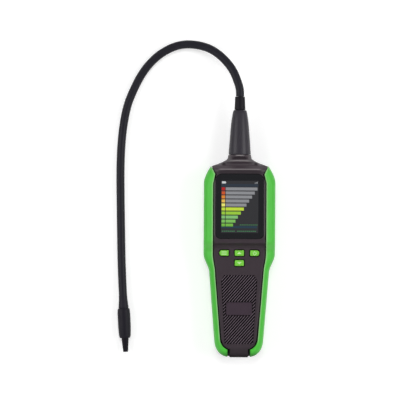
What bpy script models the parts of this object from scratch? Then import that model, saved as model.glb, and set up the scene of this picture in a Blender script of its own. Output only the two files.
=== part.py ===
"""Handheld refrigerant leak detector with a gooseneck probe, lying on its back.

Metres, +Z up out of the screen, +Y towards the probe, +X to the right of the keys.
The empty "handset" sits at the lower end of the case, so every y below is a station:
the distance from the lower end. World zero is under the middle of the handset.
"""

import math

import bmesh
import bpy
import numpy as np
from mathutils import Vector

# Fits and clearances
FIT = 0.0003
PANEL_GAP = 0.0008
SPLIT_FIT = 0.00015

# Case in plan: handle, flare, head, shoulders and neck collar
HANDLE_END_HALF = 0.0243
HANDLE_TOP_HALF = 0.0313
HEAD_HALF = 0.0374
FLARE_START = 0.088
FLARE_END = 0.108
END_LENGTH = 0.017
END_NARROWING = 0.0145
END_POWER = 2.2
SHOULDER_START = 0.183
SHOULDER_LENGTH = 0.017
SHOULDER_DROP = 0.0072
SHOULDER_POWER = 1.6
NECK_FLARE_LENGTH = 0.0085
COLLAR_LENGTH = 0.0035
COLLAR_RADIUS = 0.013
COLLAR_TAPER = 0.0006
NECK_FLARE_POWER = 1.5

# Case from the side
HANDLE_HEIGHT = 0.035
HEAD_HEIGHT = 0.041
RAMP_START = 0.110
RAMP_END = 0.122
CREST_BEFORE_FLARE = 0.0034
END_ROUND = 0.009
END_TOP_DROP = 0.007
END_BOTTOM_RISE = 0.0055
SPLIT = 0.017

# Corner radii of the case's section, across and up
FRONT_CORNER_EXTRA = 0.0008
FRONT_CORNER_RISE = 0.011
BACK_CORNER_HANDLE = (0.0035, 0.005)
BACK_CORNER_HEAD = (0.007, 0.008)
CORNER_STEPS = 4
CORNER_ROOM = 0.95

# Bumpers
BUMPER_THICKNESS = 0.0022
STRIP_HANDLE = 0.006
STRIP_HEAD = 0.0096
REAR_EDGE_TO_DOOR = 0.0022
REAR_STRIP_HEAD = 0.0097
NOTCH_BEFORE_SHOULDER = 0.001
NOTCH_LENGTH = 0.0094
NOTCH_DEPTH = 0.0021
TIP_WIDTH = 0.0004
TONGUE_SLOT_HALF = 0.0118
TONGUE_SLOT_TOP = 0.0084
HEEL_CONTROL = (0.018, 0.0106)
HEEL_TOP = 0.018

# Walls and panels of the covers
SHELL_SIDE = 0.002
FRONT_WALL = 0.0038
REAR_WALL = 0.0037
PANEL_DROP = 0.0005
REAR_DROP = 0.0006
PANEL_CHAMFER = 0.0014
PANEL_CHAMFER_DEPTH = 0.0009
TONGUE_HALF = 0.0096
CREASE_START = 0.116
CREASE_END = 0.12
CAVITY_BEFORE_FLARE = 0.005

# Display
LENS_BORDER = 0.0026
LENS_START = 0.1244
LENS_END = 0.1918
LENS_CORNER_LOW = 0.0055
LENS_CORNER_HIGH = 0.007
LENS_THICKNESS = 0.0018
LENS_SUNK = 0.0002
WINDOW_BORDER = 0.0047
WINDOW_START = 0.1288
WINDOW_END = 0.1866
DISPLAY_THICKNESS = 0.0036
DISPLAY_BORDER = 0.0018
CARRIER_WALL = 0.0016
CARRIER_OUT = 0.001

# Keys
KEY_ROW = 0.1093
LOWER_KEY_ROW = 0.0989
KEY_SPACING = 0.0066
SIDE_KEY_WIDTH = 0.0094
CENTRE_KEY_WIDTH = 0.0094
KEY_DEPTH = 0.0057
LOWER_KEY_DEPTH = 0.0059
KEY_CORNER = 0.0009
KEY_PROUD = 0.0012
KEY_EDGE = 0.0004
KEY_GAP = 0.00035
KEY_WELL_MARGIN = 0.001
KEY_WELL_DEPTH = 0.0008
KEY_FLANGE_MARGIN = 0.0012
KEY_FLANGE_THICKNESS = 0.001
KEY_STEM_RADIUS = 0.0015
KEY_STEM_LENGTH = 0.0005
KEY_TRAVEL = 0.0008
KEY_STOP_GAP = 0.0001

# Board and what it carries
BOARD_THICKNESS = 0.0016
BOARD_START = 0.093
BOARD_END = 0.1865
BOARD_CLEARANCE = 0.0104
BOARD_NOTCH_END = 0.1038
SWITCH_HALF = 0.003
SWITCH_HEIGHT = 0.0016
BUZZER_RADIUS = 0.006
BUZZER_HEIGHT = 0.005
BUZZER_AT = (0.0, 0.128)
BUZZER_RING_WALL = 0.001
BUZZER_RING_HEIGHT = 0.0025
PUMP_MOTOR_RADIUS = 0.0040
PUMP_MOTOR_LENGTH = 0.020
PUMP_HEAD_HALF = 0.006
PUMP_HEAD_TOP = 0.0042
PUMP_HEAD_LENGTH = 0.011
PUMP_PORT_RADIUS = 0.0012
PUMP_PORT_LENGTH = 0.003
PUMP_END = 0.184
HOSE_RADIUS = 0.0019
HOSE_WALL = 0.0006
RIB_THICKNESS = 0.0015
POST_RADIUS = 0.002
POST_INSET = 0.004
POST_ROWS = (0.122, 0.176)

# Ribbed grip field
GRIP_START = 0.0143
GRIP_END = 0.0862
GRIP_HALF_START = 0.0148
GRIP_HALF_END = 0.0188
GRIP_CORNER = 0.0055
GRIP_ANGLE = math.radians(48.4)
GROOVE_PITCH = 0.00226
GROOVE_WIDTH = 0.0014
GROOVE_DEPTH = 0.0008
PAD_HALF = 0.0136
PAD_LENGTH = 0.0135
PAD_MIDDLE = 0.0512
PAD_CORNER = 0.0018

# Battery bay, door and cells
CELL_RADIUS = 0.0092
CELL_LENGTH = 0.065
CELL_NUB_RADIUS = 0.003
CELL_NUB_LENGTH = 0.0015
CELL_SPACE = 0.0003
SPRING_LENGTH = 0.0062
SPRING_WIRE = 0.0004
SPRING_RADIUS = 0.0052
SPRING_TIP_RADIUS = 0.003
SPRING_TURNS = 3
TERMINAL_THICKNESS = 0.0005
TERMINAL_HALF_HEIGHT = 0.007
BAY_START = 0.0162
BAY_WALL = 0.0011
BAY_ROOF = 0.0013
DOOR_THICKNESS = 0.0024
DOOR_HALF = 0.0192
DOOR_FLANGE = 0.0008
DOOR_LIP = 0.0009
DOOR_OVERLAP = 0.0016
DOOR_GRIP_COUNT = 4
DOOR_GRIP_PITCH = 0.003
DOOR_GRIP_WIDTH = 0.0012
DOOR_GRIP_DEPTH = 0.0005
DOOR_GRIP_HALF = 0.008

# Case screws
SCREW_FROM_EDGE = ((0.0130, 0.1905), (0.0150, 0.1000))
SCREW_HEAD_RADIUS = 0.0028
SCREW_HEAD_HEIGHT = 0.002
SCREW_SHANK_RADIUS = 0.0013
SCREW_LENGTH = 0.014
BOSS_RADIUS_FRONT = 0.003
BOSS_RADIUS_REAR = 0.0042
SCREW_SEAT = 0.010

# Sound slots
SLOT_COUNT = 5
SLOT_PITCH = 0.0026
SLOT_WIDTH = 0.0012
SLOT_LENGTH = 0.009

# Scoop in the front of the neck collar
SCOOP_BEFORE_END = 0.0034
SCOOP_HALF_WIDTH = 0.0078
SCOOP_HALF_LENGTH = 0.0015
SCOOP_DEPTH = 0.0020

# Neck sleeve and ferrule
SLEEVE_ROOT_RADIUS = 0.0096
SLEEVE_FLANGE_RADIUS = 0.012
SLEEVE_FLANGE_LENGTH = 0.0032
SLEEVE_BASE_RADIUS = 0.01175
SLEEVE_LENGTH = 0.0468
SLEEVE_TAPER = 0.0033
SLEEVE_NOSE = 0.0015
SLEEVE_EDGE = 0.0007
FERRULE_BASE_RADIUS = 0.0058
FERRULE_TOP_RADIUS = 0.0052
FERRULE_LENGTH = 0.0142
FERRULE_SPIGOT_RADIUS = 0.004
FERRULE_SPIGOT_LENGTH = 0.009

# Gooseneck, from the ferrule to the sensing head: x, station and height
GOOSENECK_DIAMETER = 0.0087
GOOSENECK_POINTS = 46
GOOSENECK_ROUTE = (
    (0.0000, 0.2736, 0.0200),
    (-0.0002, 0.2800, 0.0200),
    (-0.0026, 0.2890, 0.0197),
    (-0.0063, 0.2982, 0.0190),
    (-0.0112, 0.3060, 0.0179),
    (-0.0175, 0.3132, 0.0165),
    (-0.0250, 0.3195, 0.0149),
    (-0.0340, 0.3245, 0.0130),
    (-0.0440, 0.3274, 0.0111),
    (-0.0546, 0.3285, 0.0094),
    (-0.0650, 0.3273, 0.0079),
    (-0.0750, 0.3236, 0.0066),
    (-0.0845, 0.3179, 0.0056),
    (-0.0930, 0.3105, 0.0049),
    (-0.1005, 0.3015, 0.0045),
    (-0.1070, 0.2910, 0.0044),
    (-0.1124, 0.2798, 0.0044),
    (-0.1170, 0.2685, 0.0044),
    (-0.1203, 0.2565, 0.0044),
    (-0.1229, 0.2415, 0.0044),
    (-0.1246, 0.2240, 0.0044),
    (-0.1255, 0.2030, 0.0044),
    (-0.1255, 0.1800, 0.0044),
    (-0.1250, 0.1500, 0.0044),
    (-0.1244, 0.1220, 0.0045),
    (-0.1237, 0.0960, 0.0050),
    (-0.1229, 0.0780, 0.0060),
    (-0.1221, 0.0628, 0.0068),
)

# Sensing head, along its own axis from the end of the gooseneck
HEAD_LEAN = math.radians(3.1)
BOOT_LENGTH = 0.0126
BOOT_END_RADIUS = 0.0053
BOOT_SPIGOT_LENGTH = 0.006
HOUSING_RADIUS = 0.00675
HOUSING_LENGTH = 0.0312
HOUSING_REAR_RADIUS = 0.006
HOUSING_NECK_RADIUS = 0.0061
HOUSING_LIP_RADIUS = 0.0053
HOUSING_BORE_RADIUS = 0.0050
HOUSING_MOUTH_RADIUS = 0.0034
HOUSING_MOUTH_LENGTH = 0.0047
SOCKET_LENGTH = 0.004
SOCKET_START = 0.0105
ELEMENT_RADIUS = 0.0042
ELEMENT_LENGTH = 0.0082
NOZZLE_LENGTH = 0.0144
NOZZLE_BASE_RADIUS = 0.0038
NOZZLE_TIP_RADIUS = 0.0026
NOZZLE_SPIGOT_LENGTH = 0.004
NOZZLE_BORE_RADIUS = 0.0013

# Faces round a turned piece, by size
COARSE = 12
MEDIUM = 16
FINE = 24

# Where the pieces follow from the sizes above
SHOULDER_END = SHOULDER_START + SHOULDER_LENGTH
CREST = SHOULDER_END - CREST_BEFORE_FLARE
CAVITY_END = SHOULDER_END - CAVITY_BEFORE_FLARE
NOTCH_START = SHOULDER_START - NOTCH_BEFORE_SHOULDER
NOTCH_DEEPEST = NOTCH_START + NOTCH_LENGTH
COLLAR_START = SHOULDER_END + NECK_FLARE_LENGTH
COLLAR_END = COLLAR_START + COLLAR_LENGTH
SCOOP_MIDDLE = COLLAR_END - SCOOP_BEFORE_END
SLEEVE_END = COLLAR_END + FIT + SLEEVE_LENGTH
FERRULE_END = SLEEVE_END + FERRULE_LENGTH
OVERALL_LENGTH = FERRULE_END
SIDE_KEY_OUT = CENTRE_KEY_WIDTH / 2 + KEY_SPACING + SIDE_KEY_WIDTH / 2
TIP_HALF = HEAD_HALF - SHOULDER_DROP - TIP_WIDTH
REAR_EDGE_HEAD = HEAD_HALF - REAR_STRIP_HEAD
REAR_EDGE_HANDLE = DOOR_HALF + DOOR_FLANGE + REAR_EDGE_TO_DOOR
LENS_HALF = HEAD_HALF - STRIP_HEAD - LENS_BORDER
WINDOW_HALF = LENS_HALF - WINDOW_BORDER
GROOVE_INSET = BUMPER_THICKNESS + FIT
CAVITY_INSET = GROOVE_INSET + SHELL_SIDE
BOARD_HALF = HEAD_HALF - CAVITY_INSET - BOARD_CLEARANCE
POST_PLACES = [(BOARD_HALF - POST_INSET, row) for row in POST_ROWS]
HANDLE_PANEL = HANDLE_HEIGHT - PANEL_DROP
HEAD_PANEL = HEAD_HEIGHT - PANEL_DROP
LENS_SEAT = HEAD_PANEL - LENS_SUNK - LENS_THICKNESS - FIT
HEAD_CEILING = HEAD_PANEL - FRONT_WALL
KEY_FLANGE_TOP = HANDLE_PANEL - FRONT_WALL - FIT
KEY_STEM_END = KEY_FLANGE_TOP - KEY_FLANGE_THICKNESS - KEY_STEM_LENGTH
SWITCH_TOP = KEY_STEM_END - KEY_TRAVEL - KEY_STOP_GAP
BOARD_TOP = SWITCH_TOP - SWITCH_HEIGHT - FIT
BOARD_BOTTOM = BOARD_TOP - BOARD_THICKNESS
NECK_AXIS = BOARD_BOTTOM - FIT - PUMP_HEAD_TOP
DISPLAY_TOP = LENS_SEAT - FIT
DISPLAY_BOTTOM = DISPLAY_TOP - DISPLAY_THICKNESS
FLOOR = REAR_DROP + REAR_WALL
DOOR_TOP = REAR_DROP + DOOR_THICKNESS
DOOR_SLOT_TOP = DOOR_TOP + FIT
CELL_OUT = CELL_RADIUS + CELL_SPACE / 2
CELL_AXIS = DOOR_TOP + FIT + CELL_RADIUS
BAY_HALF = CELL_OUT + CELL_RADIUS + CELL_SPACE
BAY_TOP = CELL_AXIS + CELL_RADIUS + CELL_SPACE
CELL_START = BAY_START + TERMINAL_THICKNESS + 2 * FIT
CELL_END = CELL_START + CELL_LENGTH
SPRING_START = CELL_END + FIT + SPRING_WIRE
SPRING_END = SPRING_START + SPRING_LENGTH
TERMINAL_START = SPRING_END + SPRING_WIRE + FIT
BAY_END = TERMINAL_START + TERMINAL_THICKNESS + FIT
DOOR_END = BAY_END + DOOR_OVERLAP
BORE_RADIUS = SLEEVE_ROOT_RADIUS + FIT
HOSE_BORE_RADIUS = HOSE_RADIUS + FIT
PROBE_AXIS = GOOSENECK_ROUTE[-1][2]


def clear_scene():
    for obj in list(bpy.data.objects):
        bpy.data.objects.remove(obj)
    for collection in list(bpy.data.collections):
        bpy.data.collections.remove(collection)


def collection(name):
    made = bpy.data.collections.new(name)
    bpy.context.scene.collection.children.link(made)
    return made


def material(name, colour, roughness, metallic=0.0):
    """A plain surface; colour is linear RGB."""
    made = bpy.data.materials.new(name)
    made.use_nodes = True
    shader = made.node_tree.nodes["Principled BSDF"]
    shader.inputs["Base Color"].default_value = (*colour, 1.0)
    shader.inputs["Roughness"].default_value = roughness
    shader.inputs["Metallic"].default_value = metallic
    made.diffuse_color = (*colour, 1.0)
    return made


def smooth(share):
    share = min(max(share, 0.0), 1.0)
    return share * share * (3 - 2 * share)


def spread(start, end, count):
    return [start + (end - start) * i / count for i in range(count + 1)]


def flare_share(s):
    return smooth((s - FLARE_START) / (FLARE_END - FLARE_START))


def neck_share(s):
    return min(max((s - SHOULDER_END) / (COLLAR_START - SHOULDER_END), 0.0), 1.0)


def shoulder_fall(s):
    share = min(max((s - SHOULDER_START) / (SHOULDER_END - SHOULDER_START), 0.0), 1.0)
    return SHOULDER_DROP * share**SHOULDER_POWER


def end_fall(s, length, depth, power):
    """How far a rounded end has fallen back at this station."""
    away = min(max(1 - s / length, 0.0), 1.0)
    return depth * (1 - (1 - away**power) ** (1 / power))


def half_width(s):
    """Half of the case's width over the bumpers."""
    half = HANDLE_END_HALF + (HANDLE_TOP_HALF - HANDLE_END_HALF) * min(s / FLARE_START, 1.0)
    half += (HEAD_HALF - HANDLE_TOP_HALF) * flare_share(s)
    half -= end_fall(s, END_LENGTH, END_NARROWING, END_POWER)
    half -= shoulder_fall(s)
    if s > SHOULDER_END:
        half = COLLAR_RADIUS + (half - COLLAR_RADIUS) * (1 - neck_share(s)) ** NECK_FLARE_POWER
    if s > COLLAR_START:
        half -= COLLAR_TAPER * (s - COLLAR_START) / (COLLAR_END - COLLAR_START)
    return half


def crest_share(s):
    return min(max((s - CREST) / (COLLAR_START - CREST), 0.0), 1.0)


def collar_fall(s):
    return COLLAR_TAPER * max(s - COLLAR_START, 0.0) / (COLLAR_END - COLLAR_START)


def top(s):
    high = HANDLE_HEIGHT + (HEAD_HEIGHT - HANDLE_HEIGHT) * smooth((s - RAMP_START) / (RAMP_END - RAMP_START))
    high -= end_fall(s, END_ROUND, END_TOP_DROP, 2)
    high -= (HEAD_HEIGHT - NECK_AXIS - COLLAR_RADIUS) * crest_share(s)
    return high - collar_fall(s)


def bottom(s):
    low = end_fall(s, END_ROUND, END_BOTTOM_RISE, 2)
    return low + (NECK_AXIS - COLLAR_RADIUS) * crest_share(s) + collar_fall(s)


def panel_top(s):
    """The front panel stays level past the keys and steps up to the screen."""
    rise = min(max((s - CREASE_START) / (CREASE_END - CREASE_START), 0.0), 1.0)
    level = HANDLE_PANEL + (HEAD_PANEL - HANDLE_PANEL) * rise
    return level - (HEAD_HEIGHT - top(s) if s > CREST else 0.0) - end_fall(s, END_ROUND, END_TOP_DROP, 2)


def strip(s):
    """How wide the bumper looks from the front."""
    return STRIP_HANDLE + (STRIP_HEAD - STRIP_HANDLE) * flare_share(s)


def notch(edge, s):
    """Above the screen the bumper's edge turns in, and then out to its tip."""
    if s <= NOTCH_START:
        return edge
    if s <= NOTCH_DEEPEST:
        return edge - NOTCH_DEPTH * (s - NOTCH_START) / (NOTCH_DEEPEST - NOTCH_START)
    inner = edge - NOTCH_DEPTH
    share = min((s - NOTCH_DEEPEST) / (SHOULDER_END - NOTCH_DEEPEST), 1.0)
    return inner + (TIP_HALF - inner) * share


def front_edge(s):
    """Inner edge of the bumper on the front, above the heel."""
    level = min(s, NOTCH_START)
    return notch(half_width(level) - strip(level), s)


def rear_edge(s):
    """Inner edge of the bumper on the back."""
    level = REAR_EDGE_HANDLE + (REAR_EDGE_HEAD - REAR_EDGE_HANDLE) * flare_share(s)
    return notch(level, s)


def heel_points(grow, count):
    """The curve from the tongue slot out to the handle's edge, as (half, station) pairs."""
    start = Vector((TONGUE_SLOT_HALF, TONGUE_SLOT_TOP))
    control = Vector(HEEL_CONTROL)
    end = Vector((front_edge(HEEL_TOP), HEEL_TOP))
    points = []
    for i in range(count + 1):
        share = i / count
        point = start * (1 - share) ** 2 + control * 2 * share * (1 - share) + end * share**2
        points.append((point.x - grow, point.y + grow))
    return points


SCREW_PLACES = [(half_width(row) - inset, row) for inset, row in SCREW_FROM_EDGE]
BOARD_NOTCH_HALF = SCREW_PLACES[1][0] - BOSS_RADIUS_REAR + FIT

END_STATIONS = [0.0, 0.0005, 0.0015, 0.003, 0.0055, 0.009, 0.013, END_LENGTH]
FLARE_STATIONS = spread(FLARE_START, FLARE_END, 5)
RAMP_STATIONS = spread(RAMP_START, RAMP_END, 4)
SHOULDER_STATIONS = spread(SHOULDER_START, CREST, 4) + [SHOULDER_END]
NECK_STATIONS = spread(SHOULDER_END, COLLAR_START, 6)[1:] + [COLLAR_END]
BODY_STATIONS = END_STATIONS + FLARE_STATIONS + RAMP_STATIONS + SHOULDER_STATIONS


def section(half, low, high, front, back):
    """A rounded rectangle with its own corners at the front and at the back, as (x, z) pairs."""
    squeeze = min(1.0, CORNER_ROOM * (high - low) / (front[1] + back[1]))
    front, back = [(min(across, CORNER_ROOM * half), up * squeeze) for across, up in (front, back)]
    corners = ((1, high, front), (-1, high, front), (-1, low, back), (1, low, back))
    points = []
    for quarter, (side, level, (across, up)) in enumerate(corners):
        centre_x = side * (half - across)
        centre_z = level - up if level == high else level + up
        for i in range(CORNER_STEPS + 1):
            angle = (quarter + i / CORNER_STEPS) * math.pi / 2
            points.append((centre_x + across * math.cos(angle), centre_z + up * math.sin(angle)))
    return points


def case_section(s, inset):
    """The section of the whole case at a station, taken in by an inset."""
    half = half_width(s) - inset
    low = bottom(s) + inset
    high = top(s) - inset
    share = neck_share(s)
    flare = flare_share(s)
    front_across = strip(s) + FRONT_CORNER_EXTRA
    back_across = BACK_CORNER_HANDLE[0] + (BACK_CORNER_HEAD[0] - BACK_CORNER_HANDLE[0]) * flare
    back_up = BACK_CORNER_HANDLE[1] + (BACK_CORNER_HEAD[1] - BACK_CORNER_HANDLE[1]) * flare
    round_half = half_width(s)
    front = (
        front_across + (round_half - front_across) * share - inset,
        FRONT_CORNER_RISE + (top(s) - NECK_AXIS - FRONT_CORNER_RISE) * share - inset,
    )
    back = (
        max(back_across + (round_half - back_across) * share - inset, FIT),
        max(back_up + (NECK_AXIS - bottom(s) - back_up) * share - inset, FIT),
    )
    return section(half, low, high, front, back)


def end_shift(s, inset):
    """An inset takes the lower end in too, and fades out along the end's rounding."""
    return s + inset * max(1 - s / END_LENGTH, 0.0)


def add_object(name, mesh, place, mat, parent=None):
    obj = bpy.data.objects.new(name, mesh)
    place.objects.link(obj)
    obj.parent = parent if parent else handset
    if mat:
        mesh.materials.append(mat)
    return obj


def finish_mesh(name, bm, place, mat, parent=None):
    bmesh.ops.recalc_face_normals(bm, faces=bm.faces)
    mesh = bpy.data.meshes.new(name)
    bm.to_mesh(mesh)
    bm.free()
    return add_object(name, mesh, place, mat, parent)


def loft(name, rings, place, mat=None):
    """A closed solid through rings of (x, y, z) points."""
    bm = bmesh.new()
    loops = [[bm.verts.new(point) for point in ring] for ring in rings]
    count = len(rings[0])
    for first, second in zip(loops, loops[1:]):
        for i in range(count):
            after = (i + 1) % count
            bm.faces.new((first[i], first[after], second[after], second[i]))
    bm.faces.new(loops[0])
    bm.faces.new(loops[-1])
    return finish_mesh(name, bm, place, mat)


def case_loft(name, stations, inset, place, mat=None):
    rings = []
    for s in stations:
        y = end_shift(s, inset)
        rings.append([(x, y, z) for x, z in case_section(s, inset)])
    return loft(name, rings, place, mat)


def cutter_box(name, low, high):
    bm = bmesh.new()
    bmesh.ops.create_cube(bm, size=1.0)
    for vert in bm.verts:
        for axis in range(3):
            vert.co[axis] = low[axis] if vert.co[axis] < 0 else high[axis]
    return finish_mesh(name, bm, cutters, None)


def rod(name, radius, start, end, sides, place=None, mat=None):
    """A cylinder between two points that differ along one axis."""
    axis = Vector(end) - Vector(start)
    bm = bmesh.new()
    bmesh.ops.create_cone(
        bm, cap_ends=True, segments=sides, radius1=radius, radius2=radius, depth=axis.length
    )
    turn = axis.to_track_quat("Z", "Y").to_matrix()
    middle = (Vector(start) + Vector(end)) / 2
    for vert in bm.verts:
        vert.co = turn @ vert.co + middle
    return finish_mesh(name, bm, place or cutters, mat)


def evaluated_mesh(obj):
    graph = bpy.context.evaluated_depsgraph_get()
    return bpy.data.meshes.new_from_object(obj.evaluated_get(graph))


def weld(mesh):
    bm = bmesh.new()
    bm.from_mesh(mesh)
    bmesh.ops.remove_doubles(bm, verts=bm.verts, dist=1e-7)
    bmesh.ops.recalc_face_normals(bm, faces=bm.faces)
    bm.to_mesh(mesh)
    bm.free()


def plate(name, outline, low, high, place=None, mat=None):
    """A flat outline of (x, y) points with a thickness, made as a filled 2D curve."""
    curve = bpy.data.curves.new(name + "_outline", "CURVE")
    curve.dimensions = "2D"
    curve.fill_mode = "BOTH"
    curve.extrude = (high - low) / 2
    spline = curve.splines.new("POLY")
    spline.points.add(len(outline) - 1)
    for point, (x, y) in zip(spline.points, outline):
        point.co = (x, y, 0.0, 1.0)
    spline.use_cyclic_u = True
    guide = bpy.data.objects.new(name + "_guide", curve)
    cutters.objects.link(guide)
    mesh = evaluated_mesh(guide)
    bpy.data.objects.remove(guide)
    for vert in mesh.vertices:
        vert.co.z += (low + high) / 2
    weld(mesh)
    return add_object(name, mesh, place or cutters, mat)


def rounded_outline(left, right, near, far, radii, steps=4):
    """A rectangle whose corners have their own radii: right far, left far, left near, right near."""
    corners = (
        (right - radii[0], far - radii[0]),
        (left + radii[1], far - radii[1]),
        (left + radii[2], near + radii[2]),
        (right - radii[3], near + radii[3]),
    )
    points = []
    for quarter, ((x, y), radius) in enumerate(zip(corners, radii)):
        for i in range(steps + 1):
            angle = (quarter + i / steps) * math.pi / 2
            points.append((x + radius * math.cos(angle), y + radius * math.sin(angle)))
    return points


def gather(name, parts):
    """One cutter or filler made of several solids that keep clear of each other."""
    bm = bmesh.new()
    for part in parts:
        bm.from_mesh(part.data)
        bpy.data.objects.remove(part)
    return finish_mesh(name, bm, cutters, None)


def boolean(target, other, operation):
    modifier = target.modifiers.new(operation.lower() + "_" + other.name, "BOOLEAN")
    modifier.operation = operation
    modifier.object = other
    modifier.solver = "EXACT"


def turned(name, profile, steps, mat, parent=None, along_y=None, closed=False, place=None):
    """A profile of (radius, height) pairs, run down its outer side, turned about an axis."""
    mesh = bpy.data.meshes.new(name)
    points = [(radius, 0.0, height) for radius, height in profile]
    edges = [(i, i + 1) for i in range(len(points) - 1)]
    if closed:
        edges.append((len(points) - 1, 0))
    mesh.from_pydata(points, edges, [])
    obj = add_object(name, mesh, place or detector, mat, parent)
    screw = obj.modifiers.new("turn", "SCREW")
    screw.steps = steps
    screw.render_steps = steps
    screw.use_merge_vertices = True
    screw.merge_threshold = 1e-6
    screw.use_smooth_shade = True
    if along_y is not None:
        obj.location = (along_y[0], 0.0, along_y[1])
        obj.rotation_euler = (-math.pi / 2, 0.0, 0.0)
    return obj


def smooth_route(points, count):
    """Points at even steps along a natural cubic spline through the route's own points."""
    route = np.array(points)
    knots = np.concatenate(([0.0], np.cumsum(np.linalg.norm(np.diff(route, axis=0), axis=1))))
    gaps = np.diff(knots)
    size = len(route)
    system = np.eye(size)
    right = np.zeros((size, 3))
    for i in range(1, size - 1):
        system[i, i - 1 : i + 2] = (gaps[i - 1], 2 * (gaps[i - 1] + gaps[i]), gaps[i])
        rise = (route[i + 1] - route[i]) / gaps[i] - (route[i] - route[i - 1]) / gaps[i - 1]
        right[i] = 6 * rise
    bends = np.linalg.solve(system, right)
    where = np.linspace(0.0, knots[-1], count)
    piece = np.clip(np.searchsorted(knots, where, side="right") - 1, 0, size - 2)
    gap = gaps[piece][:, None]
    before = (knots[piece + 1] - where)[:, None]
    after = (where - knots[piece])[:, None]
    curve = (bends[piece] * before**3 + bends[piece + 1] * after**3) / (6 * gap)
    curve += (route[piece] / gap - bends[piece] * gap / 6) * before
    curve += (route[piece + 1] / gap - bends[piece + 1] * gap / 6) * after
    return curve


def tube(name, points, radius, sides_level, mat, place=None):
    curve = bpy.data.curves.new(name, "CURVE")
    curve.dimensions = "3D"
    curve.bevel_depth = radius
    curve.bevel_resolution = sides_level
    curve.use_fill_caps = True
    spline = curve.splines.new("POLY")
    spline.points.add(len(points) - 1)
    for point, (x, y, z) in zip(spline.points, points):
        point.co = (x, y, z, 1.0)
    obj = bpy.data.objects.new(name, curve)
    (place or detector).objects.link(obj)
    obj.parent = handset
    curve.materials.append(mat)
    return obj


def ring_places(places):
    """Each place on the right, and its mirror on the left."""
    return [(side * x, y) for x, y in places for side in (1, -1)]


def front_outline_cutter():
    """Everything that the left bumper leaves free at the front."""
    stations = [HEEL_TOP, *FLARE_STATIONS, *RAMP_STATIONS, NOTCH_START, NOTCH_DEEPEST, SHOULDER_END]
    edge = [(-TONGUE_SLOT_HALF, -END_LENGTH)]
    edge += [(-half, s) for half, s in heel_points(0.0, 5)[:-1]]
    edge += [(-front_edge(s), s) for s in stations]
    beyond = 2 * HEAD_HALF
    edge += [(-beyond, SHOULDER_END), (-beyond, OVERALL_LENGTH), (beyond, OVERALL_LENGTH), (beyond, -END_LENGTH)]
    return plate("bumper_front_cut", edge, SPLIT + SPLIT_FIT, 2 * HEAD_HEIGHT)


def rear_outline_cutter():
    """Everything that the left bumper leaves free at the back."""
    stations = [*FLARE_STATIONS, NOTCH_START, NOTCH_DEEPEST, SHOULDER_END]
    edge = [(-rear_edge(0.0), -END_LENGTH)]
    edge += [(-rear_edge(s), s) for s in stations]
    beyond = 2 * HEAD_HALF
    edge += [(-beyond, SHOULDER_END), (-beyond, OVERALL_LENGTH), (beyond, OVERALL_LENGTH), (beyond, -END_LENGTH)]
    return plate("bumper_rear_cut", edge, -HEAD_HEIGHT, SPLIT + 1.4 * SPLIT_FIT)


def make_bumpers():
    """Two soft mouldings that wrap the case's sides; the right one mirrors the left."""
    left = case_loft("left_bumper", BODY_STATIONS + NECK_STATIONS[:2], 0.0, detector, green_rubber)
    inside = case_loft("bumper_inside", BODY_STATIONS + NECK_STATIONS[:3], BUMPER_THICKNESS, cutters)
    boolean(left, inside, "DIFFERENCE")
    boolean(left, front_outline_cutter(), "DIFFERENCE")
    boolean(left, rear_outline_cutter(), "DIFFERENCE")
    mesh = evaluated_mesh(left)
    left.modifiers.clear()
    left.data = mesh
    right = add_object("right_bumper", mesh, detector, None)
    right.scale = (-1.0, 1.0, 1.0)


def front_panel():
    """The raised front: tongue, grip, key field, screen surround and shoulder, with a chamfered edge."""
    tongue = [0.0, 0.0007, 0.002, 0.0045, TONGUE_SLOT_TOP + PANEL_GAP - FIT]
    line = [(TONGUE_HALF, s, 0.0) for s in tongue]
    line += [(half, s, 0.0) for half, s in heel_points(PANEL_GAP, 5)]
    stations = [*FLARE_STATIONS, CREASE_START, CREASE_END, NOTCH_START, NOTCH_DEEPEST, CREST]
    line += [(front_edge(s) - PANEL_GAP, s, 0.0) for s in stations]
    line.append((TIP_HALF - PANEL_GAP, SHOULDER_END, 0.0))
    line.append((TIP_HALF - 4 * PANEL_GAP, SHOULDER_END + PANEL_GAP, FIT))
    rings = []
    for half, y, fall in line:
        high = panel_top(y) - fall
        low = SPLIT - PANEL_GAP
        edge = high - PANEL_CHAMFER_DEPTH
        flat = half - PANEL_CHAMFER
        ring = [(half, low), (half, edge), (flat, high), (-flat, high), (-half, edge), (-half, low)]
        rings.append([(x, y, z) for x, z in ring])
    return loft("front_panel", rings, cutters)


def rear_panel():
    """The exposed back between the bumpers; at the lower end it takes the case's rounded form."""
    stations = END_STATIONS + FLARE_STATIONS + [NOTCH_START, NOTCH_DEEPEST, CREST]
    line = [(s, rear_edge(s) - PANEL_GAP, 0.0) for s in stations]
    line.append((SHOULDER_END, TIP_HALF - PANEL_GAP, 0.0))
    line.append((SHOULDER_END + PANEL_GAP, TIP_HALF - 4 * PANEL_GAP, FIT))
    rings = []
    for s, half, fall in line:
        half = min(half, half_width(s) - PANEL_DROP)
        low = bottom(s) + REAR_DROP + fall
        squareness = smooth((s - END_ROUND / 2) / (END_LENGTH - END_ROUND / 2))
        across = BACK_CORNER_HANDLE[0] + (PANEL_CHAMFER - BACK_CORNER_HANDLE[0]) * squareness
        up = BACK_CORNER_HANDLE[1] + (PANEL_CHAMFER_DEPTH - BACK_CORNER_HANDLE[1]) * squareness
        ring = section(half, low, SPLIT + PANEL_GAP, (FIT, FIT), (across, up))
        y = end_shift(s, PANEL_DROP)
        rings.append([(x, y, z) for x, z in ring])
    return loft("rear_panel", rings, cutters)


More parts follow.
